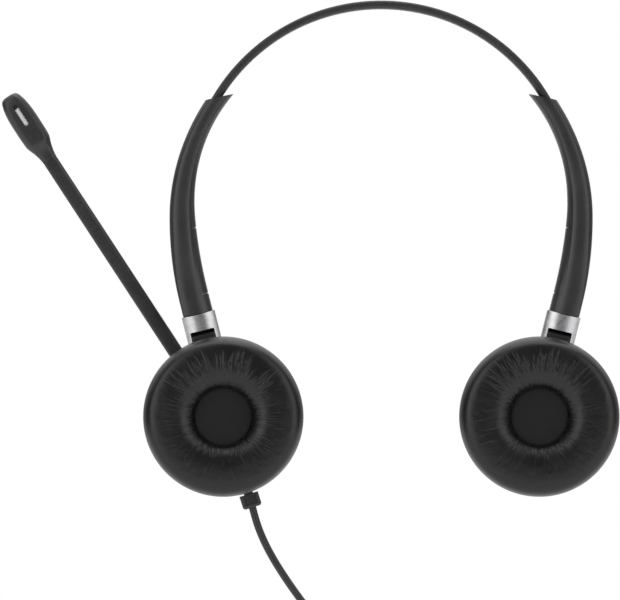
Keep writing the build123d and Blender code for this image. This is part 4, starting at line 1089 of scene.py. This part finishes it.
class Sky:
    """World light built from smooth bands of direction."""

    def __init__(self):
        world = bpy.data.worlds.new("studio")
        bpy.context.scene.world = world
        world.use_nodes = True
        self.tree = world.node_tree
        self.tree.nodes.clear()
        where = self.tree.nodes.new("ShaderNodeTexCoord")
        parts = self.tree.nodes.new("ShaderNodeSeparateXYZ")
        self.tree.links.new(where.outputs["Generated"], parts.inputs[0])
        self.x, self.y, self.z = parts.outputs

    def maths(self, operation, first, second=0.0):
        made = self.tree.nodes.new("ShaderNodeMath")
        made.operation = operation
        for socket, value in zip(made.inputs, (first, second)):
            if isinstance(value, (int, float)):
                socket.default_value = value
            else:
                self.tree.links.new(value, socket)
        return made.outputs[0]

    def band(self, value, start, end, strength):
        """Light that climbs smoothly from nothing at start to this strength at end."""
        made = self.tree.nodes.new("ShaderNodeMapRange")
        made.interpolation_type = "SMOOTHSTEP"
        for key, number in (("From Min", start), ("From Max", end), ("To Min", 0.0), ("To Max", strength)):
            made.inputs[key].default_value = number
        self.tree.links.new(value, made.inputs["Value"])
        return made.outputs["Result"]

    def towards(self, azimuth_deg):
        """Cosine of the level angle between a direction and one this far right of the camera."""
        turn = math.radians(azimuth_deg)
        level = self.maths("SQRT", self.maths("SUBTRACT", 1.001, self.maths("MULTIPLY", self.z, self.z)))
        right = self.maths("MULTIPLY", self.x, math.sin(turn))
        front = self.maths("MULTIPLY", self.y, -math.cos(turn))
        return self.maths("DIVIDE", self.maths("ADD", right, front), level)

    def total(self, parts):
        made = parts[0]
        for part in parts[1:]:
            made = self.maths("ADD", made, part)
        return made

    def shine(self, strength):
        """White to the camera, and this strength to everything else."""
        seen = self.tree.nodes.new("ShaderNodeLightPath")
        choice = self.tree.nodes.new("ShaderNodeMix")
        self.tree.links.new(seen.outputs["Is Camera Ray"], choice.inputs["Factor"])
        self.tree.links.new(strength, choice.inputs["A"])
        choice.inputs["B"].default_value = 1.0
        shine = self.tree.nodes.new("ShaderNodeBackground")
        shine.inputs["Color"].default_value = (1, 1, 1, 1)
        self.tree.links.new(choice.outputs["Result"], shine.inputs["Strength"])
        out = self.tree.nodes.new("ShaderNodeOutputWorld")
        self.tree.links.new(shine.outputs[0], out.inputs["Surface"])


FRONT_GLOW = 0.16
# softboxes: degrees right of the camera, strength; the edge and core are cosines of their half angles
BOXES = ((-45, 1.7), (50, 1.5))
BOX_EDGE = math.cos(math.radians(24))
BOX_CORE = math.cos(math.radians(8))
TOP_LIGHT = 2.4
REAR_TOP_LIGHT = 1.1
BACK_LIGHT = 0.3
LOW_LIGHT = 0.3


def surroundings():
    """White studio: dim at the camera, a softbox on either side of it, a lit ceiling and backdrop."""
    sky = Sky()
    down = sky.maths("MULTIPLY", sky.z, -1.0)
    upright = sky.maths("MULTIPLY", sky.band(sky.z, -0.75, -0.25, 1.0), sky.band(down, -0.9, -0.5, 1.0))
    boxes = sky.total([
        sky.band(sky.towards(azimuth), BOX_EDGE, BOX_CORE, strength) for azimuth, strength in BOXES
    ])
    behind = sky.band(sky.y, -0.2, 0.4, REAR_TOP_LIGHT)
    rear_top = sky.maths("MULTIPLY", sky.band(sky.z, 0.1, 0.7, 1.0), behind)
    lit = sky.total([
        sky.maths("MULTIPLY", boxes, upright),
        sky.band(sky.z, 0.82, 0.97, TOP_LIGHT),
        rear_top,
        sky.band(sky.y, 0.3, 0.9, BACK_LIGHT),
        sky.band(down, 0.4, 0.9, LOW_LIGHT),
        FRONT_GLOW,
    ])
    sky.shine(lit)


VIEW_CENTRE = Vector((-0.02663, 0, 0.04356))
VIEW_DISTANCE = 2.583
LENS = 400
SENSOR = 36


def photographer():
    """Level long-lens camera in front, square to the headset."""
    data = bpy.data.cameras.new("camera")
    data.lens = LENS
    data.sensor_width = SENSOR
    camera = bpy.data.objects.new("camera", data)
    camera.location = VIEW_CENTRE + Vector((0, -VIEW_DISTANCE, 0))
    camera.rotation_euler = (math.pi / 2, 0, 0)
    bpy.context.scene.collection.objects.link(camera)
    bpy.context.scene.camera = camera


backdrop()
surroundings()
photographer()
bpy.context.scene.view_settings.view_transform = "Standard"
